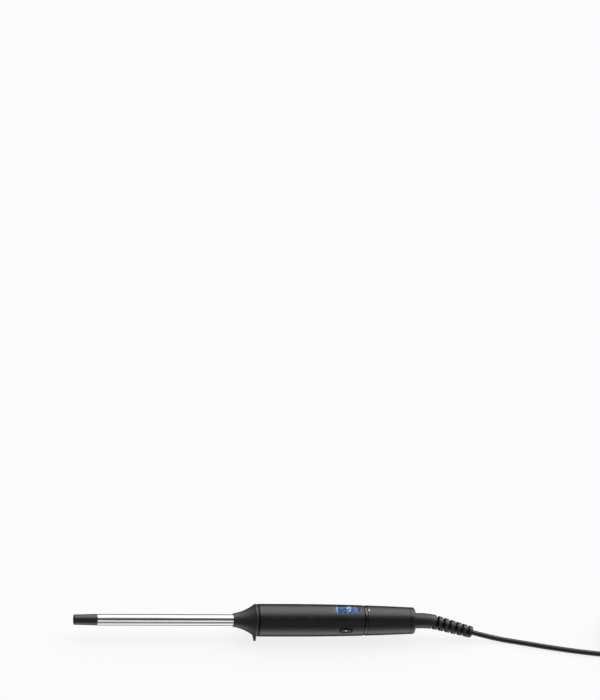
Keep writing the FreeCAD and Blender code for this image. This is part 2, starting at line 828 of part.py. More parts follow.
def screw_cutters(name, station, side, up):
    """The shank's hole through a boss and, in the upper half, the way in for the screw's head."""
    low = "0" if up else "0 - screw_depth"
    hole = doc.addObject("Part::Cylinder", name + "_shank_cut")
    hole.setExpression("Radius", bound("screw_hole" if up else "screw_shank"))
    hole.setExpression("Height", bound("boss_height" if up else "screw_depth"))
    made = [place(hole, station, side, low)]
    if up:
        head = doc.addObject("Part::Cylinder", name + "_head_cut")
        head.setExpression("Radius", bound("screw_head_hole"))
        head.setExpression("Height", bound("boss_height"))
        made.append(place(head, station, side, "boss_height"))
    return made


def make_chassis_screws():
    screws = []
    for station in ("front_boss_station", "rear_boss_station"):
        for side in ("boss_side", "0 - boss_side"):
            name = f"chassis_screw_{len(screws)}"
            shank = doc.addObject("Part::Cylinder", name + "_shank")
            shank.setExpression("Radius", bound("screw_shank"))
            shank.setExpression("Height", bound("boss_height + screw_depth"))
            head = doc.addObject("Part::Cylinder", name + "_head")
            head.setExpression("Radius", bound("screw_head"))
            head.setExpression("Height", bound("screw_head_height"))
            screw = doc.addObject("Part::Fuse", name)
            screw.Base = place(shank, station, side, "0 - screw_depth")
            screw.Tool = place(head, station, side, "boss_height")
            screws.append(screw)
    group("chassis_screws", screws)


def make_control_board():
    """The board and what stands on it, along the middle of the chassis."""
    box_part("control_board", "board_start", "board_length", "board_width", "board_thickness",
             base="board_top - board_thickness")
    box_part("triac", "202", "15.2", "10", "4.4", side="4", base="board_top")
    box_part("film_capacitor", "222", "13", "8", "7.5", side="5", base="board_top")
    box_part("control_chip", "240", "9", "4", "1.5", side="4.5", base="board_top")
    box_part("power_resistor", "203", "11", "3.6", "3.6", side="0 - 7.5", base="board_top")
    can = rod("filter_capacitor", "3.1", "11.5")
    can.Label = "filter_capacitor"
    place(can, "222", "0 - 5", "board_top + 3.1")


# ---- accent ring, dial and rear cap --------------------------------------------------------------------------


def make_accent_ring():
    body = new_body("accent_ring")
    length = "( accent_end - accent_start )"
    outer = f"( {handle('accent_start')} - accent_inset )"
    turn(body, [("0", "chassis_radius + fit_gap"), (length, "chassis_radius + fit_gap"), (length, outer),
                ("0", outer)])
    round_edges(body, "edges", "0.3", lambda edge: is_ring(edge, outer, "0") or is_ring(edge, outer, length))
    place(body, "accent_start")


def make_temperature_dial():
    """The turning rear section: a sleeve on the handle's arc with two webs that run on the swivel tube."""
    body = new_body("temperature_dial")
    length, hole = "( dial_end - dial_start )", "( tube_radius + running_gap )"
    front, front_end = "( dial_front_web - dial_start )", "( dial_front_web + dial_web - dial_start )"
    rear, rear_end = "( dial_rear_web - dial_start )", "( dial_rear_web + dial_web - dial_start )"
    turn(body, [("0", "dial_bore + 2"), (front, "dial_bore + 2"), (front, hole), (front_end, hole),
                (front_end, "dial_bore"), (rear, "dial_bore"), (rear, hole), (rear_end, hole),
                (length, handle("dial_end"), "taper_radius"), ("0", handle("dial_start"))])
    edges = [(handle("dial_start"), "0"), (handle("dial_end"), length)]
    round_edges(body, "edges", "0.35", lambda edge: any(is_ring(edge, *one) for one in edges))
    place(body, "dial_start")


def make_rear_cap():
    """The end cap: it closes the handle, holds the dial on and is fixed on the swivel tube's end."""
    body = new_body("rear_cap")
    length, seat = "( rear_end - cap_start )", "( cap_counterbore - cap_start )"
    outer = handle("cap_start")
    turn(body, [("0", "tube_radius + fit_gap"), (seat, "tube_radius + fit_gap"), (seat, "cap_hole"),
                (length, "cap_hole"), (length, outer), ("0", outer)])
    round_edges(body, "rear", "cap_round", lambda edge: is_ring(edge, outer, length))
    place(body, "cap_start")


# ---- temperature setting and cord swivel -------------------------------------------------------------------


def make_setting_rings():
    """A printed resistor ring that stands still, and a brass contact ring that turns with the dial."""
    ring_body("resistor_track", "track_start", "( track_end - track_start )", "tube_radius + fit_gap",
              "track_radius")
    ring_body("wiper_ring", "wiper_start", "( wiper_end - wiper_start )", "wiper_bore",
              "dial_bore - fit_gap")


def make_swivel_tube():
    """The fixed bearing: a flange held in the chassis, a wall with the stem's hole, and a long tube."""
    body = new_body("swivel_tube_turned")
    length, wall = "( tube_end - tube_flange_start )", "( tube_flange_end - tube_flange_start )"
    turn(body, [("0", "tube_wall_hole"), (wall, "tube_wall_hole"), (wall, "tube_bore"), (length, "tube_bore"),
                (length, "tube_radius"), (wall, "tube_radius"), (wall, "tube_flange_radius"),
                ("0", "tube_flange_radius")])
    place(body, "tube_flange_start")
    ways = []
    for side in ("1", "0 - 1"):
        way = rod(f"wire_way_{len(ways)}", "brush_wire_way", "tube_flange_end - tube_flange_start + 2")
        ways.append(place(way, "tube_flange_start - 1", height=f"brush_wire_side * ( {side} )"))
    cut_part("swivel_tube", body, ways)


def make_swivel_stem():
    """The turning core of the swivel, on the lead: it runs in the tube's wall and in its rear bore."""
    body = new_body("swivel_stem")
    start = "stem_start"
    groove, groove_end = f"( stem_groove_start - {start} )", f"( stem_groove_end - {start} )"
    journal, end = f"( journal_start - {start} )", f"( journal_end - {start} )"
    turn(body, [("0", "stem_bore"), (end, "stem_bore"), (end, "tube_bore - running_gap"),
                (journal, "tube_bore - running_gap"), (journal, "stem_radius"), (groove_end, "stem_radius"),
                (groove_end, "stem_groove_radius"), (groove, "stem_groove_radius"), (groove, "stem_radius"),
                ("0", "stem_radius")])
    place(body, start)
    ring_body("stem_clip", "stem_groove_start + fit_gap", "clip_thickness", "stem_groove_radius + fit_gap",
              "clip_radius")
    rings, brushes = [], []
    for i in range(2):
        station = f"first_slip_ring + {i} * slip_ring_pitch"
        rings.append(ring_body(f"slip_ring_{i}", station, "slip_ring_width", "stem_radius + fit_gap",
                               "slip_ring_radius"))
        side = "1" if i == 0 else "0 - 1"
        centre = f"( slip_ring_radius + brush_gap + tube_bore - 0.15 ) / 2 * ( {side} )"
        height = "( tube_bore - 0.15 - slip_ring_radius - brush_gap )"
        brush = box_part(f"brush_{i}", f"{station} + 0.3", "brush_length", "brush_length", height,
                         base=f"{centre} - {height} / 2")
        brushes.append(brush)
    group("slip_rings", rings)
    group("brush_contacts", brushes)


def make_mains_leads():
    """One wire from each brush, through the tube's wall, to the board."""
    board, thick, clear = value("board_top"), 0.5, value("brush_wire_side")
    above, below = board + thick, board - value("board_thickness") - thick
    first = value("first_slip_ring + 0.3")
    second = first + value("slip_ring_pitch")
    upper = [(first, 0, clear), (273, 0, clear), (266, 0, 1.5), (259, 0, above), (253, 0, above)]
    lower = [(second, 0, -clear), (273, 0, -clear), (265.5, 0, below), (258, 0, below)]
    wires = [lead(f"mains_lead_{i}", [wand_point(*spot) for spot in route], thick)
             for i, route in enumerate((upper, lower))]
    group("mains_leads", wires)


# ---- strain relief and lead ----------------------------------------------------------------------------------


def make_boot_slots(first, below):
    """Six slots across one side of the boot, in its cone's own frame, where +X is its underside."""
    slots = []
    for i in range(6):
        slot = doc.addObject("Part::Box", f"boot_slot_{'low' if below else 'top'}_{i}")
        slot.setExpression("Length", bound("boot_radius"))
        slot.setExpression("Width", bound("2 * boot_radius + 2"))
        slot.setExpression("Height", bound("slot_width"))
        near = "web_half_width" if below else "0 - web_half_width - boot_radius"
        slot.setExpression(".Placement.Base.x", bound(near))
        slot.setExpression(".Placement.Base.y", bound("0 - boot_radius - 1"))
        slot.setExpression(".Placement.Base.z", bound(f"{first} + {i} * slot_pitch"))
        slots.append(slot)
    return slots


def make_cord_boot():
    """The strain relief: a straight neck, a bend towards the surface below, and a slotted cone."""
    neck = rod("boot_neck", "boot_radius", "boot_neck_length")
    bend = doc.addObject("Part::Torus", "boot_bend")
    bend.setExpression("Radius1", bound("boot_bend_radius"))
    bend.setExpression("Radius2", bound("boot_radius"))
    bend.setExpression("Angle3", bound("boot_bend_angle"))
    up, along = FreeCAD.Vector(0, 0, 1), FreeCAD.Vector(1, 0, 0)
    bend.Placement.Rotation = FreeCAD.Rotation(up, along, FreeCAD.Vector(0, 1, 0))
    bend.setExpression(".Placement.Base.x", bound("boot_neck_length"))
    bend.setExpression(".Placement.Base.z", bound("0 - boot_bend_radius"))
    cone = doc.addObject("Part::Cone", "boot_cone")
    cone.setExpression("Radius1", bound("boot_radius"))
    cone.setExpression("Radius2", bound("boot_tip_radius"))
    cone.setExpression("Height", bound("boot_cone_length"))
    core = doc.addObject("Part::Cylinder", "boot_core")
    core.setExpression("Radius", bound("slot_core_radius"))
    core.setExpression("Height", bound("boot_cone_length + slot_pitch"))
    core.setExpression(".Placement.Base.z", bound("0 - slot_pitch"))
    slots = doc.addObject("Part::MultiFuse", "boot_slots")
    slots.Shapes = make_boot_slots("slot_start", False) + make_boot_slots("slot_start - slot_pitch / 2", True)
    slot_cutter = cut_part("boot_slot_cutter", slots, [core])
    turned = "boot_bend_radius * sin( boot_bend_angle )"
    sunk = "boot_bend_radius * ( 1 - cos( boot_bend_angle ) )"
    for piece in (cone, slot_cutter):
        piece.Placement.Rotation = FreeCAD.Rotation(FreeCAD.Vector(0, 1, 0), 90 + value("boot_bend_angle"))
        piece.setExpression(".Placement.Base.x", bound(f"boot_neck_length + {turned}"))
        piece.setExpression(".Placement.Base.z", bound(f"0 - {sunk}"))
    solid = doc.addObject("Part::MultiFuse", "boot_solid")
    solid.Shapes = [neck, bend, cone]
    boot = cut_part("cord_boot", solid, [slot_cutter])
    boot.Placement.Rotation = FreeCAD.Rotation(FreeCAD.Vector(1, 0, 0), -value("boot_roll"))
    place(boot, "journal_end")


def boot_end():
    """The middle of the boot's far end, where the lead comes out, and the way that it points."""
    angle = math.radians(value("boot_bend_angle"))
    length, radius = value("boot_cone_length"), value("boot_bend_radius")
    ahead = value("boot_neck_length") + radius * math.sin(angle) + length * math.cos(angle)
    down = radius * (1 - math.cos(angle)) + length * math.sin(angle)
    roll = FreeCAD.Rotation(FreeCAD.Vector(1, 0, 0), -value("boot_roll"))
    start = wand_point(value("journal_end"), 0, 0)
    return start + roll.multVec(FreeCAD.Vector(ahead, 0, -down))


# The lead's route on the surface, as (station, side, height of its middle above the surface), from the boot
# to the coil; and the tail's from the coil to the plug, with its stations counted from the coil's middle.
LEAD_ROUTE = [(412.6, -6.2, 2.5), (440, -13, 2.5), (466, -20.6, 2.5), (492, -27.2, 2.5), (518, -31.4, 2.5),
              (540, -33, 2.5), (557, -32.6, 2.5)]
TAIL_ROUTE = [(8.4, -31.2, 17.5), (22, -25.4, 15.6), (37, -19, 10.6), (52, -17, 6.8), (62, -17, 6.8)]


def make_lead():
    """The stretch of lead on the surface, its put-away coil, and the tail that ends in the plug."""
    origin = wand_point(0, 0, -value("axis_height"))
    route = [origin + FreeCAD.Vector(*spot) for spot in LEAD_ROUTE]
    lead("power_cord", [boot_end()] + route, value("cord_radius"))
    middle = origin + FreeCAD.Vector(value("coil_station"), 0, 0)
    lead("cord_tail", [middle + FreeCAD.Vector(*spot) for spot in TAIL_ROUTE], value("cord_radius"))
    turns = new_body("coil_turns")
    coil = new_sketch(turns, "XY_Plane", "coil_turns_plan")
    draw_circle(coil, "coil_outer")
    draw_circle(coil, "coil_inner")
    pad(turns, coil, "ring", "coil_height")
    place(turns, "coil_station", height="0 - axis_height")
    strap_way = coil_box("tie_way", "tie_width + 0.2", "coil_inner - 2", "coil_outer + 1", "0", "tie_thickness")
    cut_part("cord_coil", turns, [strap_way])


def coil_box(name, width, near, far, low, high):
    """A box across the coil's far side, from near to far from its middle and from low to high."""
    box = doc.addObject("Part::Box", name)
    box.setExpression("Length", bound(width))
    box.setExpression("Width", bound(f"{far} - ( {near} )"))
    box.setExpression("Height", bound(f"{high} - ( {low} )"))
    return place(box, f"coil_station - ( {width} ) / 2", near, f"{low} - axis_height")


def make_cord_tie():
    """A strap round the coil's turns."""
    slack = "0.85"
    outer = coil_box("tie_outside", "tie_width", f"coil_inner - {slack} - tie_thickness",
                     "coil_outer + tie_thickness", "0", "coil_height + tie_thickness")
    inner = coil_box("tie_inside", "tie_width + 2", f"coil_inner - {slack}", "coil_outer",
                     "tie_thickness", "coil_height")
    cut_part("cord_tie", outer, [inner])


def make_plug():
    """A flat two-pin plug lying on the surface, with its own short strain relief."""
    level = "plug_height / 2 - axis_height"
    body = new_body("plug_body")
    plan = new_sketch(body, "XY_Plane", "plug_body_plan")
    waist, face = "plug_waist / 2", "plug_width / 2"
    draw_outline(plan, [("0", f"0 - {waist} + 3"), ("9", f"0 - {waist}"), ("22", f"0 - {face}"),
                        ("plug_length", f"0 - {face}"), ("plug_length", face), ("22", face), ("9", waist),
                        ("0", f"{waist} - 3")])
    pad(body, plan, "block", "plug_height", both=True)
    half = value("plug_height / 2")
    round_edges(body, "grip", "plug_round", lambda edge: all(abs(abs(v.Point.z) - half) < 0.01
                                                             for v in edge.Vertexes)
                and edge.CenterOfMass.x < value("plug_length") - 0.1)
    place(body, "plug_station", "plug_side", level)
    boot = new_body("plug_boot")
    turn(boot, [("0", "0"), ("0", "plug_boot_tip"), ("plug_boot_length", "plug_boot_radius"),
                ("plug_boot_length", "0")])
    place(boot, "plug_station - plug_boot_length", "plug_side", level)
    pins = []
    for side in ("1", "0 - 1"):
        pin = new_body(f"plug_pin_{len(pins)}")
        turn(pin, [("0", "0"), ("0", "plug_pin_radius"), ("plug_pin_length - 1", "plug_pin_radius"),
                   ("plug_pin_length", "plug_pin_radius - 0.8"), ("plug_pin_length", "0")])
        place(pin, "plug_station + plug_length", f"plug_side + plug_pin_spacing / 2 * ( {side} )", level)
        pins.append(pin)
    group("plug_pins", pins)


# ---- the whole wand ------------------------------------------------------------------------------------------

NODES = [
    "tip_cap", "barrel", "heat_shoe_upper", "heat_shoe_lower", "ceramic_heater", "temperature_sensor",
    "thermal_fuse", "heater_leads", "sensor_leads", "barrel_mount", "mount_screws", "guard_cone",
    "front_shell", "display_lens", "lcd_panel", "backlight", "display_pins", "power_button", "power_switch",
    "switch_plunger", "chassis_upper", "chassis_lower", "chassis_screws", "control_board", "triac",
    "film_capacitor", "control_chip", "power_resistor", "filter_capacitor", "accent_ring",
    "temperature_dial", "rear_cap", "resistor_track", "wiper_ring", "swivel_tube", "swivel_stem", "stem_clip",
    "slip_rings", "brush_contacts", "mains_leads", "cord_boot", "power_cord", "cord_coil", "cord_tail",
    "cord_tie", "plug_body", "plug_boot", "plug_pins",
]


def make_all():
    make_tip_cap()
    make_barrel()
    make_heater_core()
    make_thermal_fuse()
    make_inner_leads()
    make_barrel_mount()
    make_mount_screws()
    make_guard_cone()
    make_front_shell()
    make_display()
    make_power_button()
    make_power_switch()
    make_chassis_half("chassis_upper", True)
    make_chassis_half("chassis_lower", False)
    make_chassis_screws()
    make_control_board()
    make_accent_ring()
    make_temperature_dial()
    make_rear_cap()
    make_setting_rings()
    make_swivel_tube()
    make_swivel_stem()
    make_mains_leads()
    make_cord_boot()
    make_lead()
    make_cord_tie()
    make_plug()


def write_parts():
    failed = [o.Name for o in doc.Objects if "Invalid" in o.State or "Error" in o.State]
    if failed:
        raise RuntimeError(f"not built: {failed}")
    parts = {name: doc.getObjectsByLabel(name)[0] for name in NODES}
    for name, part in parts.items():
        if part.Shape.isNull() or not part.Shape.isValid() or not part.Shape.Solids:
            raise RuntimeError(f"{name} has no valid solid")
    for name, part in parts.items():
        part.Shape.exportStep(f"parts/{name}.step")
    print(f"{len(parts)} nodes written")


make_all()
doc.recompute()
write_parts()
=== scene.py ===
import json
import math

import bmesh
import bpy
from mathutils import Matrix, Vector


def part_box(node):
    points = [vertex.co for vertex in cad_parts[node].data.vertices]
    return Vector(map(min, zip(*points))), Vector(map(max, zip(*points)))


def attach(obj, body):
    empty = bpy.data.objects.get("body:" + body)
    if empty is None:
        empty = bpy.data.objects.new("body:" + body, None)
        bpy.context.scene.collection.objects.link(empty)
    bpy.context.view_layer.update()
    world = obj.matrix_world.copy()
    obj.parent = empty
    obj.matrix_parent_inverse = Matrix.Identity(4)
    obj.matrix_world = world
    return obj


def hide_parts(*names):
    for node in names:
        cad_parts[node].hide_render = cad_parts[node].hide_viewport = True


# A clipless curling wand. It lies along X with its tip at -X, its display on top and its button at -Y.
# Everything is in metres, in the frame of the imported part, and each piece's place comes from that part.

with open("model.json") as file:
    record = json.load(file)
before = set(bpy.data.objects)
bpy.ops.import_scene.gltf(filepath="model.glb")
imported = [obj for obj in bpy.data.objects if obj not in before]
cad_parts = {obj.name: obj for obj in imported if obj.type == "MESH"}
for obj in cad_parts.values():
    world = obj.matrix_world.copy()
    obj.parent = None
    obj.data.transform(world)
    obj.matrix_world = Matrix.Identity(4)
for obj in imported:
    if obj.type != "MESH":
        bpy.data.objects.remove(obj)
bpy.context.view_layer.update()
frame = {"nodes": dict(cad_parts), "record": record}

MM = 0.001
RING_STEPS, FINE_STEPS = 128, 160
AXIS = (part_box("barrel")[0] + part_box("barrel")[1]) / 2
AXIS_HEIGHT = AXIS.z


def start_of(node):
    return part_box(node)[0].x


def end_of(node):
    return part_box(node)[1].x


def reach_of(node):
    """A round node's radius about the wand's axis."""
    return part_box(node)[1].y


# distances along the wand are stations, counted as in the part, whose rear cap ends at this one
REAR_STATION = 332.5
DATUM = end_of("rear_cap") - REAR_STATION * MM


def station(distance):
    return DATUM + distance * MM


def placed(name, data):
    """A new object, linked to the scene."""
    made = bpy.data.objects.new(name, data)
    bpy.context.scene.collection.objects.link(made)
    return made


# ---- camera ----

# angles in degrees, the distance in metres, and the lens in millimetres on a sensor 36 mm wide
CAMERA_AZIMUTH, CAMERA_ELEVATION, CAMERA_ROLL = -13.0, 38.75, 8.42
AIM_PAN, AIM_TILT = -0.514, 2.475
CAMERA_DISTANCE, CAMERA_LENS, SENSOR_WIDTH = 6.0, 321.4, 36


def look_axes(azimuth, elevation):
    """The camera's right, up and backward directions for a view of the wand from that side."""
    a, e = math.radians(azimuth), math.radians(elevation)
    back = Vector((math.sin(a) * math.cos(e), -math.cos(a) * math.cos(e), math.sin(e)))
    right = Vector((math.cos(a), math.sin(a), 0))
    return right, back.cross(right), back


def add_camera():
    """A long lens from the tip's side, rolled until the wand lies level, and aimed above the wand."""
    right, up, back = look_axes(CAMERA_AZIMUTH, CAMERA_ELEVATION)
    middle = Vector((0, 0, AXIS_HEIGHT))
    turns = Matrix.Rotation(math.radians(CAMERA_ROLL), 3, "Z")
    turns = turns @ Matrix.Rotation(math.radians(AIM_TILT), 3, "X")
    turns = turns @ Matrix.Rotation(math.radians(AIM_PAN), 3, "Y")
    axes = Matrix((right, up, back)).transposed() @ turns
    data = bpy.data.cameras.new("camera")
    data.lens = CAMERA_LENS
    data.sensor_width = SENSOR_WIDTH
    data.clip_end = 100
    camera = placed("camera", data)
    camera.matrix_world = Matrix.Translation(middle + back * CAMERA_DISTANCE) @ axes.to_4x4()
    bpy.context.scene.camera = camera


# ---- materials ----


def rgba(sockets):
    return [socket for socket in sockets if socket.type == "RGBA"]


# every material by its name, and by its slot where a slot has another name
MATERIALS = {}


class Nodes:
    """A node tree, with short ways to add and join its nodes."""

    def __init__(self, tree):
        self.tree = tree

    def node(self, kind, **settings):
        made = self.tree.nodes.new(kind)
        for key, setting in settings.items():
            setattr(made, key, setting)
        return made

    def link(self, source, target):
        self.tree.links.new(source, target)

    def axes(self, place):
        """The X, Y and Z parts of a place."""
        split = self.node("ShaderNodeSeparateXYZ")
        self.link(place, split.inputs["Vector"])
        return split.outputs

    def scaled(self, source, low, high, near=0.0, far=1.0):
        """A value from near to far mapped to low to high."""
        made = self.node("ShaderNodeMapRange")
        for socket, number in (("From Min", near), ("From Max", far), ("To Min", low), ("To Max", high)):
            made.inputs[socket].default_value = number
        self.link(source, made.inputs["Value"])
        return made.outputs["Result"]

    def ramp(self, source, stops):
        """A colour for each value of the source, from stops of (value, colour)."""
        made = self.node("ShaderNodeValToRGB")
        elements = made.color_ramp.elements
        for i, (spot, color) in enumerate(stops):
            element = elements[i] if i < 2 else elements.new(spot)
            element.position = spot
            element.color = (*color, 1)
        self.link(source, made.inputs["Fac"])
        return made.outputs["Color"]

    def product(self, first, second, share):
        """The first colour, multiplied by the second as far as share."""
        made = self.node("ShaderNodeMix", data_type="RGBA", blend_type="MULTIPLY")
        made.inputs[0].default_value = share
        for source, socket in zip((first, second), rgba(made.inputs)):
            self.link(source, socket)
        return rgba(made.outputs)[0]


class Paint(Nodes):
    """A procedural material: one Principled shader and the nodes that feed it, in the object's own space."""

    def __init__(self, name, color, roughness, metallic=0.0, **sockets):
        self.material = MATERIALS[name] = bpy.data.materials.new(name)
        self.material.use_nodes = True
        super().__init__(self.material.node_tree)
        self.shader = self.tree.nodes["Principled BSDF"]
        self.color = (*color, 1.0)
        self.shader.inputs["Base Color"].default_value = self.color
        self.shader.inputs["Roughness"].default_value = roughness
        self.shader.inputs["Metallic"].default_value = metallic
        for socket, number in sockets.items():
            self.shader.inputs[socket.replace("_", " ")].default_value = number
        self.place = self.node("ShaderNodeTexCoord").outputs["Object"]
        self.relief = None

    def texture(self, kind, size, stretch=(1, 1, 1)):
        """A texture with features of about a size in metres, drawn out along an axis where stretch is small."""
        mapping = self.node("ShaderNodeMapping")
        mapping.inputs["Scale"].default_value = [s / size for s in stretch]
        self.link(self.place, mapping.inputs["Vector"])
        made = self.node(kind)
        made.inputs["Scale"].default_value = 1.0
        self.link(mapping.outputs["Vector"], made.inputs["Vector"])
        return made

    def noise(self, size, detail=3.0, stretch=(1, 1, 1)):
        made = self.texture("ShaderNodeTexNoise", size, stretch)
        made.inputs["Detail"].default_value = detail
        return made.outputs["Fac"]

    def vary_roughness(self, source, low, high):
        self.link(self.scaled(source, low, high, 0.3, 0.7), self.shader.inputs["Roughness"])

    def vary_color(self, source, other, near=0.3, far=0.7):
        """Turns from the base colour to another one as the source goes from near to far."""
        blend = self.node("ShaderNodeMix", data_type="RGBA")
        for color, socket in zip((self.color, (*other, 1.0)), rgba(blend.inputs)):
            socket.default_value = color
        self.link(self.scaled(source, 0, 1, near, far), blend.inputs[0])
        self.link(rgba(blend.outputs)[0], self.shader.inputs["Base Color"])

    def bump(self, source, depth):
        """Relief of a depth in metres, on top of any relief added before."""
        made = self.node("ShaderNodeBump")
        made.inputs["Distance"].default_value = depth
        made.inputs["Strength"].default_value = 1.0
        self.link(source, made.inputs["Height"])
        if self.relief:
            self.link(self.relief, made.inputs["Normal"])
        self.relief = made.outputs["Normal"]
        self.link(self.relief, self.shader.inputs["Normal"])


def plastic(name, color, roughness, grain, depth, spread=0.06, **sockets):
    """Moulded plastic, cloudy in gloss and tone, with a grain of a size and depth in millimetres."""
    paint = Paint(name, color, roughness, **sockets)
    paint.vary_roughness(paint.noise(9 * MM, 2), roughness - spread, roughness + spread)
    paint.vary_color(paint.noise(2.5 * MM, 4), [c * 1.35 for c in color])
    paint.bump(paint.noise(grain * MM, 2), depth * MM)


def barrel_metal():
    """Polished metal with fine lengthwise polishing lines."""
    paint = Paint("barrel_metal", (0.60, 0.60, 0.615), 0.24, 1.0, Anisotropic=0.3)
    lines = paint.noise(0.32 * MM, 5, stretch=(0.012, 1, 1))
    broad = paint.noise(2.2 * MM, 2, stretch=(0.03, 1, 1))
    paint.vary_roughness(lines, 0.14, 0.27)
    paint.vary_color(broad, (0.52, 0.52, 0.54))
    paint.bump(lines, 0.004 * MM)


def metal(name, color, roughness):
    """Metal with fine tool marks across Y."""
    paint = Paint(name, color, roughness, 1.0)
    marks = paint.noise(0.25 * MM, 4, stretch=(1, 0.15, 1))
    paint.vary_roughness(marks, roughness - 0.07, roughness + 0.1)
    paint.vary_color(paint.noise(3 * MM, 2), [c * 0.86 for c in color])
    paint.bump(marks, 0.006 * MM)


def rubber(name, color, roughness):
    """Soft PVC: satin, slightly uneven, with a light bloom in its finest grain."""
    paint = Paint(name, color, roughness, IOR=1.52, Sheen_Weight=0.04, Sheen_Roughness=0.4)
    paint.vary_roughness(paint.noise(4 * MM, 3), roughness - 0.08, roughness + 0.08)
    paint.vary_color(paint.noise(1.2 * MM, 4), [c * 1.5 for c in color])
    paint.bump(paint.noise(0.35 * MM, 3), 0.012 * MM)


def woven(name, color):
    """A tightly woven strap: two crossing rows of threads with fuzzy tone."""
    paint = Paint(name, color, 0.85, Sheen_Weight=0.35, Sheen_Roughness=0.5)
    pitch = 0.55 * MM
    heights = []
    for direction in ("X", "DIAGONAL"):
        wave = paint.node("ShaderNodeTexWave", bands_direction=direction)
        wave.inputs["Scale"].default_value = 0.314 / pitch
        wave.inputs["Distortion"].default_value = 0.4
        paint.link(paint.place, wave.inputs["Vector"])
        heights.append(wave.outputs["Fac"])
    weave = paint.node("ShaderNodeMath", operation="MULTIPLY")
    paint.link(heights[0], weave.inputs[0])
    paint.link(heights[1], weave.inputs[1])
    paint.vary_color(weave.outputs[0], [c * 2.6 for c in color], 0.1, 0.8)
    paint.bump(weave.outputs[0], 0.12 * MM)
    paint.bump(paint.noise(0.15 * MM, 4), 0.03 * MM)


def clear_window():
    """The display's tinted window, with the faintest polishing haze."""
    paint = Paint("window_glass", (0.86, 0.93, 1.0), 0.03, IOR=1.16, Transmission_Weight=1.0)
    paint.vary_roughness(paint.noise(6 * MM, 3), 0.02, 0.06)
    return paint.material


# the backlight's colour along the display, with two bright patches painted in as highlights, as (share of its
# length, colour)
DISPLAY_GLOW_AND_HIGHLIGHTS = [(0.0, (0.03, 0.09, 0.20)), (0.05, (0.04, 0.12, 0.26)), (0.09, (0.40, 0.60, 0.86)),
                (0.14, (0.04, 0.12, 0.27)), (0.48, (0.04, 0.12, 0.27)), (0.56, (0.36, 0.58, 0.84)),
                (0.65, (0.34, 0.56, 0.82)), (0.73, (0.04, 0.11, 0.25)), (0.9, (0.09, 0.15, 0.25)),
                (1.0, (0.05, 0.09, 0.17))]


def lit_display():
    """A backlit panel: deep blue with two bright patches of painted highlight, greyer at its rear end, and
    faintly uneven.
    """
    paint = Paint("display_light", (0.01, 0.03, 0.06), 0.4, Emission_Strength=1.0, Specular_IOR_Level=0.05)
    low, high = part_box("lcd_panel")
    along = paint.scaled(paint.axes(paint.place)["X"], 0, 1, low.x, high.x)
    uneven = paint.scaled(paint.noise(3 * MM, 2), 0.55, 1.25)
    # the ramp's two bright patches are painted highlights, lit like the backlight
    glow_and_highlights = paint.product(paint.ramp(along, DISPLAY_GLOW_AND_HIGHLIGHTS), uneven, 0.35)
    paint.link(glow_and_highlights, paint.shader.inputs["Emission Color"])
    return paint.material


def board_material():
    """A printed board: green mask over a faint pattern of tracks."""
    paint = Paint("board_mask", (0.02, 0.16, 0.06), 0.35, Coat_Weight=0.4)
    tracks = paint.texture("ShaderNodeTexVoronoi", 1.6 * MM).outputs["Distance"]
    paint.vary_color(tracks, (0.05, 0.27, 0.11), 0.35, 0.45)
    paint.bump(tracks, 0.02 * MM)
    return paint.material


def make_materials():
    plastic("grip_plastic", (0.009, 0.009, 0.0095), 0.31, 0.30, 0.006, IOR=1.56)
    plastic("gloss_plastic", (0.003, 0.003, 0.0035), 0.14, 2.0, 0.002, 0.03, IOR=1.7, Coat_Weight=0.4,
            Coat_Roughness=0.06)
    plastic("cap_plastic", (0.018, 0.018, 0.019), 0.3, 0.5, 0.004, IOR=1.6)
    plastic("button_plastic", (0.055, 0.055, 0.058), 0.3, 0.4, 0.004)
    plastic("dull_black", (0.003, 0.003, 0.003), 0.45, 0.4, 0.004, Specular_IOR_Level=0.12)
    plastic("guard_plastic", (0.022, 0.022, 0.023), 0.4, 0.3, 0.006, IOR=1.56)
    plastic("mark_paint", (0.62, 0.62, 0.60), 0.5, 0.2, 0.01)
    plastic("display_ink", (0.002, 0.012, 0.06), 0.4, 0.2, 0.002, Specular_IOR_Level=0.05)
    plastic("ceramic", (0.78, 0.76, 0.71), 0.6, 0.3, 0.02)
    plastic("sensor", (0.62, 0.52, 0.33), 0.15, 1.0, 0.004)
    plastic("chassis_plastic", (0.035, 0.035, 0.037), 0.55, 0.5, 0.02)
    plastic("component_black", (0.02, 0.02, 0.02), 0.5, 0.3, 0.01)
    plastic("component_yellow", (0.6, 0.42, 0.05), 0.3, 1.0, 0.01)
    barrel_metal()
    metal("heater_metal", (0.68, 0.68, 0.70), 0.35)
    metal("steel", (0.55, 0.55, 0.57), 0.3)
    metal("fuse_metal", (0.72, 0.72, 0.73), 0.25)
    metal("brass", (0.75, 0.55, 0.24), 0.28)
    metal("pin_metal", (0.74, 0.74, 0.76), 0.16)
    rubber("wire_white", (0.55, 0.55, 0.52), 0.55)
    rubber("boot_rubber", (0.011, 0.011, 0.012), 0.42)
    rubber("cord_pvc", (0.011, 0.011, 0.012), 0.38)
    rubber("plug_plastic", (0.012, 0.012, 0.013), 0.45)
    woven("tie_fabric", (0.012, 0.012, 0.015))
    MATERIALS.update(lens=clear_window(), display=lit_display(), board=board_material())


# ---- mesh helpers ----


def finish_piece(name, mesh, material, slot, body, *nodes, sharp=35):
    """Names a mesh's object, shades it, gives it its material, ties it to its body and hides the CAD nodes it
    stands for. Its slot is not used.
    """
    mesh.shade_smooth()
    mesh.set_sharp_from_angle(angle=math.radians(sharp))
    mesh.materials.append(MATERIALS[material])
    piece = placed(name, mesh)
    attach(piece, body)
    if nodes:
        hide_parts(*nodes)
    return piece


def mesh_of(form, name):
    bmesh.ops.recalc_face_normals(form, faces=form.faces)
    mesh = bpy.data.meshes.new(name)
    form.to_mesh(mesh)
    form.free()
    return mesh


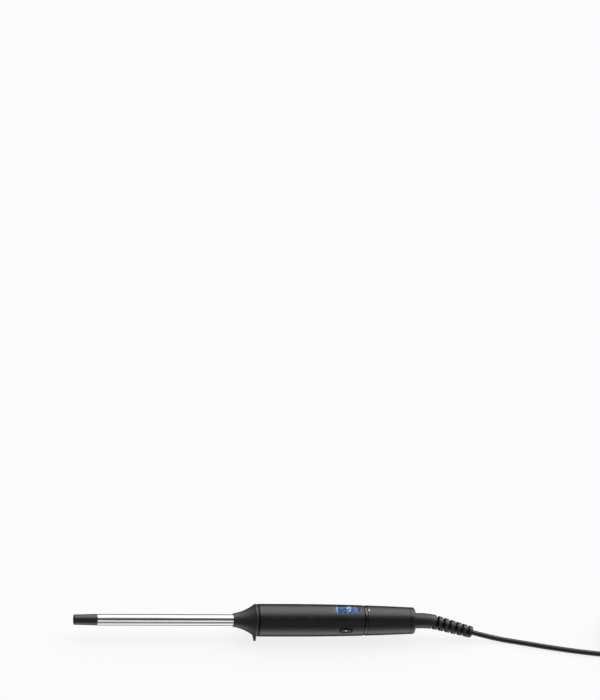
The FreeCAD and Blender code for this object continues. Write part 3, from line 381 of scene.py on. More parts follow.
def softened(corners, closed=False):
    """An outline whose corners, each (across, up, radius), are rounded with arcs of that radius."""
    points = []
    count = len(corners)
    for i, (across, up, radius) in enumerate(corners):
        corner = Vector((across, up))
        open_end = not closed and i in (0, count - 1)
        if radius <= 0 or open_end:
            points.append(corner)
            continue
        before = Vector(corners[i - 1][:2]) - corner
        after = Vector(corners[(i + 1) % count][:2]) - corner
        half = before.angle(after) / 2
        trim = min(radius / math.tan(half), 0.49 * before.length, 0.49 * after.length)
        radius = trim * math.tan(half)
        middle = corner + (before.normalized() + after.normalized()).normalized() * (radius / math.sin(half))
        first = corner + before.normalized() * trim - middle
        last = corner + after.normalized() * trim - middle
        sweep = first.angle_signed(last)
        steps = max(3, math.ceil(abs(sweep) / math.radians(12)))
        for k in range(steps + 1):
            turned = first.copy()
            turned.rotate(Matrix.Rotation(-sweep * k / steps, 2))
            points.append(middle + turned)
    return points


def skin(name, rings, loop=False):
    """A mesh over rings of points, each with the same count: closed by a fan at each end, or end to end."""
    form = bmesh.new()
    made = [[form.verts.new(spot) for spot in ring] for ring in rings]
    count = len(made[0])
    pairs = list(zip(made, made[1:]))
    if loop:
        pairs.append((made[-1], made[0]))
    for near, far in pairs:
        for k in range(count):
            following = (k + 1) % count
            form.faces.new((near[k], near[following], far[following], far[k]))
    if not loop:
        for ring in (made[0], made[-1]):
            centre = form.verts.new(sum((v.co for v in ring), Vector()) / count)
            for k in range(count):
                form.faces.new((ring[k], ring[(k + 1) % count], centre))
    return mesh_of(form, name)


def angles_round(steps):
    return [2 * math.pi * k / steps for k in range(steps)]


def lathe(name, corners, loop=False, steps=RING_STEPS, middle=AXIS):
    """A round mesh from (x, radius, corner radius) about a line along X through middle, or the wand's axis.
    A loop closes it as a hollow ring."""
    angles = angles_round(steps)
    rings = [[Vector((x, middle.y + radius * math.sin(a), middle.z + radius * math.cos(a))) for a in angles]
             for x, radius in softened(corners, closed=loop)]
    return skin(name, rings, loop)


def skin_piece(name, rings, *rest, loop=False, sharp=35):
    return finish_piece(name, skin(name, rings, loop), *rest, sharp=sharp)


def turned_piece(name, corners, *rest, loop=False, steps=RING_STEPS, middle=AXIS, sharp=35):
    return finish_piece(name, lathe(name, corners, loop, steps, middle), *rest, sharp=sharp)


# ---- power cord ----

CORD_RADIUS = 2.5 * MM
# in millimetres: the lead's route on the surface as (station, side, height), and its end's from the coil's
# middle
LEAD_ROUTE = [(412.6, -6.2, 2.5), (440, -13, 2.5), (466, -19.9, 2.5), (492, -25.8, 2.5), (518, -30.2, 2.5),
              (540, -32.8, 2.5)]
TAIL_ROUTE = [(8.4, -31.2, 17.5), (22, -25.4, 15.6), (37, -19, 10.6), (52, -17, 6.8), (62, -17, 6.8)]
COIL_RADII, COIL_LAYERS, TURN_POINTS = (32.5, 27.5), 4, 16


def route_point(along, side, height):
    return Vector((station(along), side * MM, height * MM))


BOOT_NECK, BOOT_BEND, BOOT_CONE_LENGTH = 19 * MM, 55 * MM, 36.5 * MM
BOOT_ANGLE, BOOT_LEAN = math.radians(15.4), math.radians(20)
BOOT_LENGTH = BOOT_NECK + BOOT_BEND * BOOT_ANGLE + BOOT_CONE_LENGTH


def boot_path(travel):
    """The boot's centreline at a distance from its start, its direction, and the way to its underside."""
    down = Vector((0, -math.sin(BOOT_LEAN), -math.cos(BOOT_LEAN)))
    ahead = Vector((1, 0, 0))
    start = Vector((start_of("cord_boot"), 0, AXIS_HEIGHT))
    turned = min(max((travel - BOOT_NECK) / BOOT_BEND, 0), BOOT_ANGLE)
    straight = min(travel, BOOT_NECK)
    rest = max(travel - BOOT_NECK - BOOT_BEND * BOOT_ANGLE, 0)
    spot = start + ahead * (straight + BOOT_BEND * math.sin(turned)) + down * BOOT_BEND * (1 - math.cos(turned))
    way = ahead * math.cos(turned) + down * math.sin(turned)
    under = down * math.cos(turned) - ahead * math.sin(turned)
    return spot + way * rest, way, under


def eased(share):
    share = min(max(share, 0), 1)
    return share * share * (3 - 2 * share)


def coil_points():
    """Turns wound in two columns, layer upon layer: each turn moves over, or climbs, near its end."""
    low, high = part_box("cord_coil")
    middle = Vector(((low.x + high.x) / 2, (low.y + high.y) / 2, 0))
    seats = []
    for layer in range(COIL_LAYERS):
        order = COIL_RADII if layer % 2 == 0 else COIL_RADII[::-1]
        seats += [(radius, (1 + 2 * layer) * CORD_RADIUS / MM) for radius in order]
    outside = 1 / math.cos(math.pi / TURN_POINTS)
    points = []
    for k in range(len(seats) * TURN_POINTS):
        turn, share = divmod(k / TURN_POINTS, 1)
        radius, height = seats[int(turn)]
        if turn + 1 < len(seats):
            next_radius, next_height = seats[int(turn) + 1]
            height += (next_height - height) * eased((share - 0.70) / 0.16)
            radius += (next_radius - radius) * eased((share - 0.84) / 0.16)
        angle = math.radians(-90 + 360 * share)
        reach = radius * outside * MM
        points.append(middle + Vector((reach * math.cos(angle), reach * math.sin(angle), height * MM)))
    return points, middle


def make_cord():
    exit_point = boot_path(BOOT_LENGTH)[0]
    inside_boot = boot_path(BOOT_LENGTH - 3 * MM)[0]
    turns, middle = coil_points()
    points = [inside_boot] + [route_point(*spot) for spot in LEAD_ROUTE] + turns
    points += [middle + Vector(spot) * MM for spot in TAIL_ROUTE]
    curve = bpy.data.curves.new("power_lead", "CURVE")
    curve.dimensions = "3D"
    curve.resolution_u = 6
    curve.bevel_depth = CORD_RADIUS
    curve.bevel_resolution = 6
    curve.use_fill_caps = True
    spline = curve.splines.new("NURBS")
    spline.points.add(len(points) - 1)
    for spot, point in zip(points, spline.points):
        point.co = (*spot, 1)
    spline.order_u = 3
    spline.use_endpoint_u = True
    spline.use_smooth = True
    curve.materials.append(MATERIALS["cord_pvc"])
    lead = placed("power_lead", curve)
    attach(lead, "cord_set")
    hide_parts("power_cord", "cord_coil", "cord_tail")
    return lead, exit_point


# ---- tip, barrel and guard ----


def make_tip_cap():
    """A slightly tapered cap with a rounded nose and a fine lip where it meets the barrel."""
    nose, joint = start_of("tip_cap"), start_of("barrel")
    face, seat = 4.9 * MM, reach_of("barrel")
    turned_piece("tip_cap_skin", [
        (nose, 0.2 * MM, 0), (nose, face, 0.5 * MM), (joint - 1.0 * MM, seat - 0.02 * MM, 0.3 * MM),
        (joint - 0.9 * MM, seat - 0.12 * MM, 0), (joint - 0.35 * MM, seat - 0.12 * MM, 0),
        (joint - 0.3 * MM, seat, 0.05 * MM), (joint - 0.05 * MM, seat, 0.04 * MM),
        (joint - 0.05 * MM, seat - 1.2 * MM, 0)], "cap_plastic", "grip_plastic", "handle", "tip_cap")


def make_barrel():
    start, end = start_of("barrel"), end_of("barrel")
    outer, inner, edge = reach_of("barrel"), 4.6 * MM, 0.15 * MM
    corners = [(start, outer, edge), (end, outer, edge), (end, inner, edge), (start, inner, edge)]
    return turned_piece("barrel_tube", corners, "barrel_metal", "barrel_metal", "handle", "barrel", loop=True)


GUARD_NECK, GUARD_RIM_START, GUARD_LENGTH, FLARE_RADIUS = 6.5 * MM, 20.9 * MM, 23.1 * MM, 45 * MM
RIM_RADIUS, RIM_ROUND, RIM_END = 15.6 * MM, 0.7 * MM, 22.45 * MM
FOOT_HALF_WIDTH, FOOT_CORNER, FOOT_BLEND = 9.5 * MM, 1.6 * MM, 1.4 * MM
GUARD_BORE = 5.62 * MM
# the guard's rear step and its hollow, as (distance, radius) in millimetres
GUARD_INSIDE = ((23.1, 14.66), (23.1, 13.3), (22.9, 13.1), (19.5, 13.1), (8, 6.6))


def foot_reach(angle):
    """How far the foot's outline is from the axis at an angle from straight down."""
    way = Vector((abs(math.sin(angle)), math.cos(angle)))
    if way.y <= 0.2:
        return 0.0
    reach = min(AXIS_HEIGHT / way.y, FOOT_HALF_WIDTH / max(way.x, 1e-6))
    middle = Vector((FOOT_HALF_WIDTH - FOOT_CORNER, AXIS_HEIGHT - FOOT_CORNER))
    near = way.dot(middle)
    square = near * near - middle.length_squared + FOOT_CORNER ** 2
    if square > 0:
        spot = way * (near + math.sqrt(square))
        if spot.x > middle.x and spot.y > middle.y:
            return spot.length
    return reach


def rim_reach(angle):
    """The guard rim's outside at an angle from straight down: a circle that blends into the foot below."""
    foot = foot_reach(angle)
    share = min(max(0.5 + 0.5 * (foot - RIM_RADIUS) / FOOT_BLEND, 0), 1)
    return RIM_RADIUS + (foot - RIM_RADIUS) * share + FOOT_BLEND * share * (1 - share) / 2


def flare_arc(count):
    """Points on the guard's one concave arc, from its neck to its rim, as (distance, radius)."""
    neck, rim = Vector((0, GUARD_NECK)), Vector((GUARD_RIM_START, RIM_RADIUS))
    chord = rim - neck
    out = Vector((-chord.y, chord.x)).normalized()
    centre = (neck + rim) / 2 + out * math.sqrt(FLARE_RADIUS ** 2 - chord.length_squared / 4)
    distances = [GUARD_RIM_START * k / count for k in range(count + 1)]
    return [Vector((d, centre.y - math.sqrt(FLARE_RADIUS ** 2 - (d - centre.x) ** 2))) for d in distances]


def guard_profile(start, reach):
    """One half-section of the guard, from the neck over the flare and the rim, whose outside is at reach."""
    growth = max(0.0, reach - RIM_RADIUS)
    flare = flare_arc(22)
    points = softened([(8 * MM, GUARD_BORE, 0), (0, GUARD_BORE, 0.1 * MM), (0, GUARD_NECK, 0.15 * MM),
                       (*flare[1], 0)])
    # the flare runs on to the rim's front corner, or turns up just before it to the foot's front face
    soft = min(growth, 1.4 * MM) + 0.05 * MM
    slope = (flare[-1] - flare[-2]).normalized()
    entry = flare[-1] - slope * soft
    turned_up = Vector((GUARD_RIM_START, flare[-1].y + min(soft, max(growth - 0.6 * MM, 0.02 * MM))))
    for spot in flare[2:21]:
        points.append(spot if spot.x < entry.x else spot.lerp(entry, 0.9))
    for k in range(9):
        share = k / 8
        points.append(entry.lerp(flare[-1], share).lerp(flare[-1].lerp(turned_up, share), share))
    # the rim is narrower than the foot, and both are rounded over their front and rear edges
    full = min(growth / (2 * MM), 1)
    end = RIM_END + (GUARD_LENGTH - RIM_END) * full
    edge = RIM_ROUND + ((end - GUARD_RIM_START) / 2 - RIM_ROUND) * full * 0.95
    front = max(reach - edge, turned_up.y + 0.01 * MM)
    quarter = [math.radians(90) * k / 6 for k in range(7)]
    points += [Vector((GUARD_RIM_START + edge * (1 - math.cos(turn)), front + (reach - front) * math.sin(turn)))
               for turn in quarter]
    points += [Vector((end - edge * (1 - math.sin(turn)), front + (reach - front) * math.cos(turn)))
               for turn in quarter]
    points.append(Vector((end, 14.68 * MM)))
    points += [Vector(spot) * MM for spot in GUARD_INSIDE]
    return [point + Vector((start, 0)) for point in points]


def make_guard():
    """The heat guard: a neck that flares to a rounded rim, with the rest foot drawn out of the rim below."""
    start = start_of("guard_cone")
    # the columns stand closer together below, where the foot's corners are
    shares = [k / 240 * 2 - 1 for k in range(240)]
    angles = [math.pi * (0.45 * share + 0.55 * share ** 3) for share in shares]
    columns = [guard_profile(start, rim_reach(angle)) for angle in angles]
    rings = []
    for row in range(len(columns[0])):
        ring = []
        for angle, column in zip(angles, columns):
            x, radius = column[row]
            ring.append(Vector((x, radius * math.sin(angle), AXIS_HEIGHT - radius * math.cos(angle))))
        rings.append(ring)
    skin_piece("heat_guard", rings, "guard_plastic", "grip_plastic", "handle", "guard_cone",
               loop=True, sharp=50)


# ---- grip sleeve, display and button ----

HANDLE_RADIUS, TAPER_RADIUS = 15.7 * MM, 2450 * MM
TAPER_START = station(210)
DISPLAY_X = (start_of("display_lens") + end_of("display_lens")) / 2
BUTTON_X = (start_of("power_button") + end_of("power_button")) / 2
LENS_CORNER = 3 * MM
COLLAR_RADIUS, COLLAR_LENGTH = 14.7 * MM, 1.1 * MM
RECESS_FLOOR, PAST_SURFACE = 14.2 * MM, 20 * MM


def handle_radius(x):
    """The handle's outside: straight at first, then one long arc that narrows towards the lead."""
    past = max(x - TAPER_START, 0)
    return HANDLE_RADIUS - TAPER_RADIUS + math.sqrt(TAPER_RADIUS ** 2 - past ** 2)


def handle_run(first, last, steps):
    """Stations along the handle's arc as corners for the lathe."""
    spots = [first + (last - first) * k / steps for k in range(steps + 1)]
    return [(x, handle_radius(x), 0) for x in spots]


def rounded_rectangle(length, width, corner, steps=8):
    """The outline of a rectangle with rounded corners about the origin, anticlockwise."""
    points = []
    for side_x, side_y, first in ((1, 1, 0), (-1, 1, 90), (-1, -1, 180), (1, -1, 270)):
        middle = Vector((side_x * (length / 2 - corner), side_y * (width / 2 - corner)))
        for k in range(steps + 1):
            angle = math.radians(first + 90 * k / steps)
            points.append(middle + corner * Vector((math.cos(angle), math.sin(angle))))
    return points


def oblong(length, width):
    return rounded_rectangle(length, width, 0.499 * width, 12)


def button_ring(outline, level, drop=0.0):
    """An outline stood up at the button's place, facing -Y at a level from the wand's axis."""
    return [Vector((BUTTON_X + p.x, -level, AXIS_HEIGHT + p.y - drop)) for p in outline]


def cutter(outline, low, sideways=False):
    """A prism to cut with, from a level to past the surface: along +Z, or sideways along -Y."""
    rings = []
    for level in (low, PAST_SURFACE):
        if sideways:
            rings.append(button_ring(outline, level))
        else:
            rings.append([Vector((DISPLAY_X + p.x, p.y, AXIS_HEIGHT + level)) for p in outline])
    return placed("cutter", skin("cutter", rings))


def cut_away(mesh, cutters):
    """The mesh without the cutters' spaces."""
    blank = placed("blank", mesh)
    for tool in cutters:
        step = blank.modifiers.new("cut", "BOOLEAN")
        step.operation = "DIFFERENCE"
        step.solver = "EXACT"
        step.object = tool
    bpy.context.view_layer.update()
    shaped = bpy.data.meshes.new_from_object(blank.evaluated_get(bpy.context.evaluated_depsgraph_get()))
    for made in [blank, *cutters]:
        bpy.data.objects.remove(made)
    return shaped


def keep_round(mesh, slack=0.03 * MM):
    """Gives the outer skin the handle's own normals, so that it shades as one arc round its openings."""
    normals = [corner.vector.copy() for corner in mesh.corner_normals]
    for face in mesh.polygons:
        for loop in face.loop_indices:
            spot = mesh.vertices[mesh.loops[loop].vertex_index].co
            out = Vector((0, spot.y, spot.z - AXIS_HEIGHT))
            if abs(out.length - handle_radius(spot.x)) < slack and face.normal.dot(out.normalized()) > 0.97:
                past = max(spot.x - TAPER_START, 0)
                normals[loop] = (out.normalized() + Vector((past / TAPER_RADIUS, 0, 0))).normalized()
    mesh.normals_split_custom_set(normals)


def dark_ring(name, first, last, inner, outer):
    """A dull black ring filling the groove between two mouldings, as painted shade in the groove."""
    corners = [(first, inner, 0), (first, outer, 0.1 * MM), (last, outer, 0.1 * MM), (last, inner, 0)]
    turned_piece(name, corners, "dull_black", "gloss_plastic", "handle", loop=True, steps=FINE_STEPS)


def make_grip():
    """The grip sleeve with its display window and its stepped button recess."""
    start, end, bore = start_of("front_shell"), end_of("front_shell"), 13 * MM
    shoulder = start + COLLAR_LENGTH
    corners = [(start, bore, 0), (start, COLLAR_RADIUS, 0.2 * MM), (shoulder, COLLAR_RADIUS, 0.1 * MM),
               (shoulder, HANDLE_RADIUS, 0.3 * MM)]
    corners += handle_run(start + 2.4 * MM, end - 0.8 * MM, 44)
    corners += [(end, handle_radius(end), 0.25 * MM), (end, bore, 0)]
    mesh = lathe("grip_sleeve", corners, loop=True, steps=192)
    low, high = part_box("display_lens")
    gap, inside = 0.12 * MM, 8 * MM
    window = rounded_rectangle(high.x - low.x + gap, high.y - low.y + gap, LENS_CORNER)
    recess = rounded_rectangle(13.2 * MM, 6.2 * MM, 3.09 * MM, 12)
    hole = rounded_rectangle(12.2 * MM, 5.2 * MM, 2.59 * MM, 12)
    mesh = cut_away(mesh, [cutter(window, inside), cutter(recess, RECESS_FLOOR, True),
                           cutter(hole, inside, True)])
    # a black ring in the groove behind the guard's rim stands in for the groove's shade
    front = start_of("guard_cone") + RIM_END + 0.02 * MM
    dark_ring("grip_groove_shade", front, shoulder - 0.02 * MM, COLLAR_RADIUS + 0.02 * MM, 15.25 * MM)
    piece = finish_piece("grip_sleeve", mesh, "grip_plastic", "grip_plastic", "handle", "front_shell")
    keep_round(piece.data)


def make_lens():
    """The display's window: a curved slab that follows the handle, with a rounded rim a little proud of it."""
    low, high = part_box("display_lens")
    outline = rounded_rectangle(high.x - low.x, high.y - low.y, LENS_CORNER, 10)
    proud = high.z - AXIS_HEIGHT - handle_radius(low.x)
    depth = 0.9 * MM

    def layer(share, lift):
        ring = []
        for p in outline:
            across = p * share
            radius = handle_radius(DISPLAY_X + across.x) + lift
            height = math.sqrt(radius ** 2 - across.y ** 2)
            ring.append(Vector((DISPLAY_X + across.x, across.y, AXIS_HEIGHT + height)))
        return ring

    shares = [k / 12 for k in range(1, 13)]
    rings = [layer(share * 0.985, -depth) for share in shares]
    rings += [layer(0.998, -depth + 0.1 * MM), layer(1.0, -depth + 0.25 * MM), layer(1.0, proud - 0.25 * MM),
              layer(0.995, proud - 0.1 * MM)]
    rings += [layer(share * 0.98, proud) for share in reversed(shares)]
    skin_piece("display_window", rings, "lens", "lens", "handle", "display_lens", sharp=60)


SEGMENTS = {"top": (0.5, 1.0, 0), "middle": (0.5, 0.5, 0), "bottom": (0.5, 0.0, 0), "upper_left": (0, 0.75, 90),
            "upper_right": (1, 0.75, 90), "lower_left": (0, 0.25, 90), "lower_right": (1, 0.25, 90)}
DIGITS = {"2": ("top", "upper_right", "middle", "lower_left", "bottom"),
          "0": ("top", "upper_right", "upper_left", "lower_left", "lower_right", "bottom")}


def bar(form, middle, length, width, turn, height):
    """A pointed bar, as on a segment display."""
    half, point = length / 2, width / 2
    outline = [(-half, 0), (-half + point, -point), (half - point, -point), (half, 0), (half - point, point),
               (-half + point, point)]
    spin = Matrix.Rotation(math.radians(turn), 2)
    spots = [middle + spin @ Vector(p) for p in outline]
    low = [form.verts.new((p.x, p.y, height)) for p in spots]
    high = [form.verts.new((p.x, p.y, height + 0.04 * MM)) for p in spots]
    form.faces.new(low[::-1])
    form.faces.new(high)
    for k in range(6):
        form.faces.new((low[k], low[(k + 1) % 6], high[(k + 1) % 6], high[k]))


def make_reading():
    """The temperature on the display, in plain seven-segment figures, with a degree ring."""
    low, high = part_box("lcd_panel")
    tall, wide, pitch, stroke = 4.4 * MM, 3.3 * MM, 5.0 * MM, 1.4 * MM
    left, base = low.x + 2.6 * MM, -3.3 * MM
    level = high.z + 0.02 * MM
    form = bmesh.new()
    for place, figure in enumerate("200"):
        corner = Vector((left + place * pitch, base))
        for name in DIGITS[figure]:
            across, up, turn = SEGMENTS[name]
            middle = corner + Vector((across * wide, up * tall))
            length = (tall / 2 if turn else wide) - 0.15 * MM
            bar(form, middle, length, stroke, turn, level)
    ring = Vector((left + 3 * pitch + 0.1 * MM, base + tall - 0.7 * MM))
    for k in range(6):
        turn = 60 * k
        away = Matrix.Rotation(math.radians(turn), 2) @ Vector((0, 0.8 * MM))
        bar(form, ring + away, 0.95 * MM, 0.5 * MM, turn, level)
    finish_piece("display_reading", mesh_of(form, "display_reading"), "display_ink", "display", "handle")


def make_button():
    """The button: a black oblong cap on its flange and stem, its black surround, a grey ridge and a pip."""
    face = -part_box("power_button")[0].y
    inner = -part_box("power_button")[1].y
    shape = [(inner, 2.2, 2.2), (11.4 * MM, 2.2, 2.2), (11.4 * MM, 14.4, 6.4), (12.4 * MM, 14.4, 6.4),
             (12.4 * MM, 11.6, 4.6), (face - 0.8 * MM, 11.6, 4.6)]
    for k in range(1, 9):
        crown = math.radians(11 * k)
        narrowed = 4.6 * math.cos(crown)
        shape.append((face + (0.35 * math.sin(crown) - 0.75) * MM, 7 + narrowed, narrowed))
    rings = [button_ring(oblong(length * MM, width * MM), level) for level, length, width in shape]
    skin_piece("button_cap", rings, "dull_black", "button_plastic", "power_button", "power_button", sharp=50)
    ring = [((12.3, 5.3), 14.1), ((13.15, 6.15), 14.1), ((13.15, 6.15), 14.75), ((12.3, 5.3), 14.55)]
    rings = [button_ring(oblong(length * MM, width * MM), level * MM) for (length, width), level in ring]
    skin_piece("button_surround", rings, "dull_black", "grip_plastic", "handle", loop=True)
    # the ridge and the pip on it sit this far below the cap's middle
    low = 0.9 * MM
    for name, material, length, width, base, rise in (("button_ridge", "button_plastic", 10.2, 2.3, -0.6, 0.6),
                                                      ("button_pip", "mark_paint", 2.3, 1.5, -0.1, 0.2)):
        rings = [button_ring(oblong(length * MM, width * MM), face + base * MM, low)]
        for k in range(9):
            turn = math.radians(10.5 * k)
            narrowed = width * (0.35 + 0.65 * math.cos(turn))
            level = face + (base + rise * (0.5 + 0.5 * math.sin(turn))) * MM
            rings.append(button_ring(oblong((length - width + narrowed) * MM, narrowed * MM), level, low))
        skin_piece(name, rings, material, "button_plastic", "power_button", sharp=60)


def make_rear_rings():
    """The glossy ring behind the grip, the turning dial with its two inner webs, and the rounded end cap."""
    ring, ring_end = start_of("accent_ring"), end_of("accent_ring")
    outer, inner = reach_of("accent_ring"), 12.95 * MM
    groove = 0.7 * MM
    # a black ring in the groove before the glossy band, as painted shade in the groove
    dark_ring("ring_groove_shade", ring, ring + groove, inner, outer - 0.4 * MM)
    ring += groove
    corners = [(ring, inner, 0), (ring, outer, 0.25 * MM), (ring_end, outer, 0.25 * MM), (ring_end, inner, 0)]
    turned_piece("accent_band", corners, "gloss_plastic", "gloss_plastic", "handle", "accent_ring",
                 loop=True, steps=FINE_STEPS)
    start, end = start_of("temperature_dial"), end_of("temperature_dial")
    web, bore, hole = 3 * MM, 11.4 * MM, 9.08 * MM
    front = start + 3.3 * MM
    corners = [(start, handle_radius(start), 0.35 * MM), (start, bore + 2 * MM, 0.2 * MM),
               (front, bore + 2 * MM, 0), (front, hole, 0), (front + web, hole, 0), (front + web, bore, 0),
               (end - web, bore, 0), (end - web, hole, 0), (end, hole, 0), (end, handle_radius(end), 0.12 * MM)]
    corners += handle_run(end - 1 * MM, start + 1 * MM, 20)
    turned_piece("dial_sleeve", corners, "grip_plastic", "grip_plastic", "temperature_dial",
                 "temperature_dial", loop=True, steps=FINE_STEPS)
    start, end = start_of("rear_cap"), end_of("rear_cap")
    seat, hole, outer = 9.05 * MM, 7.8 * MM, reach_of("rear_cap")
    corners = [(start, seat, 0), (start + 1.9 * MM, seat, 0), (start + 1.9 * MM, hole, 0),
               (end, hole, 0.3 * MM), (end, outer, 3.4 * MM), (start, outer, 0.12 * MM)]
    turned_piece("end_cap", corners, "grip_plastic", "grip_plastic", "handle", "rear_cap",
                 loop=True, steps=FINE_STEPS, sharp=50)


def make_dial_marks():
    """The printed dot and the small pointer mark at the front of the temperature dial."""
    start = start_of("temperature_dial")
    for name, ahead, turn, size in (("dial_dot", 1.5, 8.3, 0.85), ("dial_tick", 1.7, 1.5, 0.5)):
        x = start + ahead * MM
        radius = handle_radius(x) + 0.02 * MM
        rings = []
        for share, lift in ((0.5, -0.06), (1.0, -0.06), (1.0, 0.0), (0.6, 0.015), (0.2, 0.015)):
            ring = []
            for spin in angles_round(28):
                angle = math.radians(turn) + size * MM * share * math.sin(spin) / radius
                reach = radius + lift * MM
                ring.append(Vector((x + size * MM * share * math.cos(spin), -reach * math.sin(angle),
                                    AXIS_HEIGHT + reach * math.cos(angle))))
            rings.append(ring)
        skin_piece(name, rings, "mark_paint", None, "temperature_dial", sharp=60)


# ---- strain relief ----

BOOT_RADIUS, BOOT_TIP, BOOT_CORE, WEB_HALF = 7.4 * MM, 5.6 * MM, 4.2 * MM, 1.0 * MM
BOOT_STEPS, TIP_ROUND = 112, 0.9 * MM
SLOT_COUNT, SLOT_PITCH, SLOT_WIDTH, SLOT_SOFT = 6, 6.46 * MM, 2.3 * MM, 0.2 * MM
# the slots are turned about the boot, and a face gets the slots' painted shade from this share of its depth
SLOT_ROLL, SLOT_SHADE_FROM = math.radians(20), 0.2
TOP_SLOTS = BOOT_LENGTH - BOOT_CONE_LENGTH - 1.7 * MM
LOW_SLOTS = TOP_SLOTS - SLOT_PITCH / 2


def in_slot(travel, first):
    """How deep a point lies in a row of slots: 0 on a rib, 1 on a slot's floor, soft at the edges."""
    deepest = 0.0
    for k in range(SLOT_COUNT):
        middle = first + k * SLOT_PITCH + SLOT_WIDTH / 2
        gap = SLOT_WIDTH / 2 - abs(travel - middle)
        deepest = max(deepest, eased(0.5 + gap / SLOT_SOFT))
    return deepest


def slot_depth(travel, angle):
    return in_slot(travel, LOW_SLOTS if math.cos(angle - SLOT_ROLL) > 0 else TOP_SLOTS)


def boot_radius(travel, angle):
    """The boot's outside at a distance along it and an angle from its underside."""
    past = min(max(travel - BOOT_NECK, 0) / (BOOT_LENGTH - BOOT_NECK), 1)
    outside = BOOT_RADIUS + (BOOT_TIP - BOOT_RADIUS) * past
    left = BOOT_LENGTH - travel
    if left < TIP_ROUND:
        outside -= TIP_ROUND - math.sqrt(max(TIP_ROUND ** 2 - (TIP_ROUND - left) ** 2, 0))
    web = WEB_HALF / max(abs(math.cos(angle - SLOT_ROLL)), 1e-6)
    floor = min(max(BOOT_CORE, web), outside)
    return outside + (floor - outside) * slot_depth(travel, angle)


def boot_ring(travel, radii):
    """Points round the boot's centreline at a distance along it, one for each radius."""
    spot, way, under = boot_path(travel)
    side = way.cross(under)
    return [spot + (under * math.cos(angle) + side * math.sin(angle)) * radius
            for angle, radius in zip(angles_round(BOOT_STEPS), radii)]


def make_boot():
    """The moulded strain relief: a smooth neck and bend, and a cone cut by two rows of slots."""
    coarse, fine = 0.5 * MM, 0.14 * MM
    travels = [coarse * k for k in range(int((LOW_SLOTS - 1 * MM) / coarse))]
    count = int((BOOT_LENGTH - travels[-1]) / fine)
    travels += [travels[-1] + (BOOT_LENGTH - travels[-1]) * k / count for k in range(1, count + 1)]
    angles = angles_round(BOOT_STEPS)
    rings = [boot_ring(travel, [boot_radius(travel, angle) for angle in angles]) for travel in travels]
    shade_depths = [slot_depth(travel, angle) for travel in travels for angle in angles]
    # the end's hole, which the lead comes out of
    for back, radius in ((0, 3.1), (0.12, 2.85), (0.6, 2.7)):
        rings.append(boot_ring(BOOT_LENGTH - back * MM, [radius * MM] * BOOT_STEPS))
    piece = skin_piece("strain_relief", rings, "boot_rubber", "boot_rubber", "cord_set", "cord_boot", sharp=55)
    # the slots' walls and floors get the darker dull black, as painted shade in the slots
    piece.data.materials.append(MATERIALS["dull_black"])
    for face in piece.data.polygons:
        inside = [shade_depths[corner] for corner in face.vertices if corner < len(shade_depths)]
        face.material_index = int(bool(inside) and min(inside) > SLOT_SHADE_FROM)
    return piece


# ---- tie and plug ----


def make_tie():
    """A woven strap round the coil's turns, with its loose end lying over its start."""
    low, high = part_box("cord_tie")
    middle = (low + high) / 2
    thick, crown = 0.7 * MM, 0.18 * MM
    rows, columns = 96, 9
    spread = [k / (columns - 1) * 2 - 1 for k in range(columns)]
    straps = []
    for name, share, narrowing, lift in (("coil_tie", 1, 1.0, 0.0), ("coil_tie_end", 0.3, 0.94, thick * 1.05)):
        outline = rounded_rectangle(high.y - low.y + 2 * lift, high.z - low.z + 2 * lift, 3.2 * MM + lift, 12)
        half = (high.x - low.x) / 2 * narrowing
        rings = []
        for spot, out in walk(outline, rows)[:int(rows * share)]:
            outer = [tie_point(middle, a * half, spot - out * crown * a ** 2) for a in spread]
            inner = [tie_point(middle, a * half * 0.985, spot - out * thick) for a in reversed(spread)]
            rings.append(outer + inner)
        whole = share == 1
        stands_for = ["cord_tie"] if whole else []
        straps.append(skin_piece(name, rings, "tie_fabric", "tie_fabric", "cord_set", *stands_for,
                                 loop=whole, sharp=60))
    return straps


def walk(outline, count):
    """Evenly spaced points round a closed outline, each with the way out of it."""
    spots = outline + outline[:1]
    lengths = [0.0]
    for a, b in zip(spots, spots[1:]):
        lengths.append(lengths[-1] + (b - a).length)
    path = []
    for k in range(count):
        travel = lengths[-1] * k / count
        i = next(i for i in range(len(lengths) - 1) if lengths[i] < lengths[i + 1] >= travel)
        run = spots[i + 1] - spots[i]
        spot = spots[i] + run * ((travel - lengths[i]) / (lengths[i + 1] - lengths[i]))
        path.append((spot, Vector((run.y, -run.x)).normalized()))
    return path


def tie_point(middle, across, spot):
    return Vector((middle.x + across, middle.y + spot.x, max(middle.z + spot.y, 0.02 * MM)))


# the plug's half width and half height at distances from its lead's end, in millimetres
PLUG_PLAN = [(0, 7.2, 5.4), (1.2, 8.3, 6.2), (4, 9.2, 6.6), (9, 10.6, 6.75), (14, 13.0, 6.8), (19, 15.8, 6.8),
             (23, 16.9, 6.8), (27, 17.0, 6.8), (34.8, 17.0, 6.8), (35.6, 16.8, 6.6), (36, 16.2, 6.1)]
SQUARENESS = 2 / 3.4
PIN_OFFSET, PIN_RADIUS, SLEEVE_LENGTH = 9.5 * MM, 1.97 * MM, 9 * MM


def plug_section(travel):
    """The plug's half width and half height, smoothly between its stations."""
    for near, far in zip(PLUG_PLAN, PLUG_PLAN[1:]):
        if travel <= far[0]:
            share = (travel - near[0]) / (far[0] - near[0])
            share = (eased(share) + share) / 2
            return [(a + (b - a) * share) * MM for a, b in zip(near[1:], far[1:])]
    return [PLUG_PLAN[-1][1] * MM, PLUG_PLAN[-1][2] * MM]


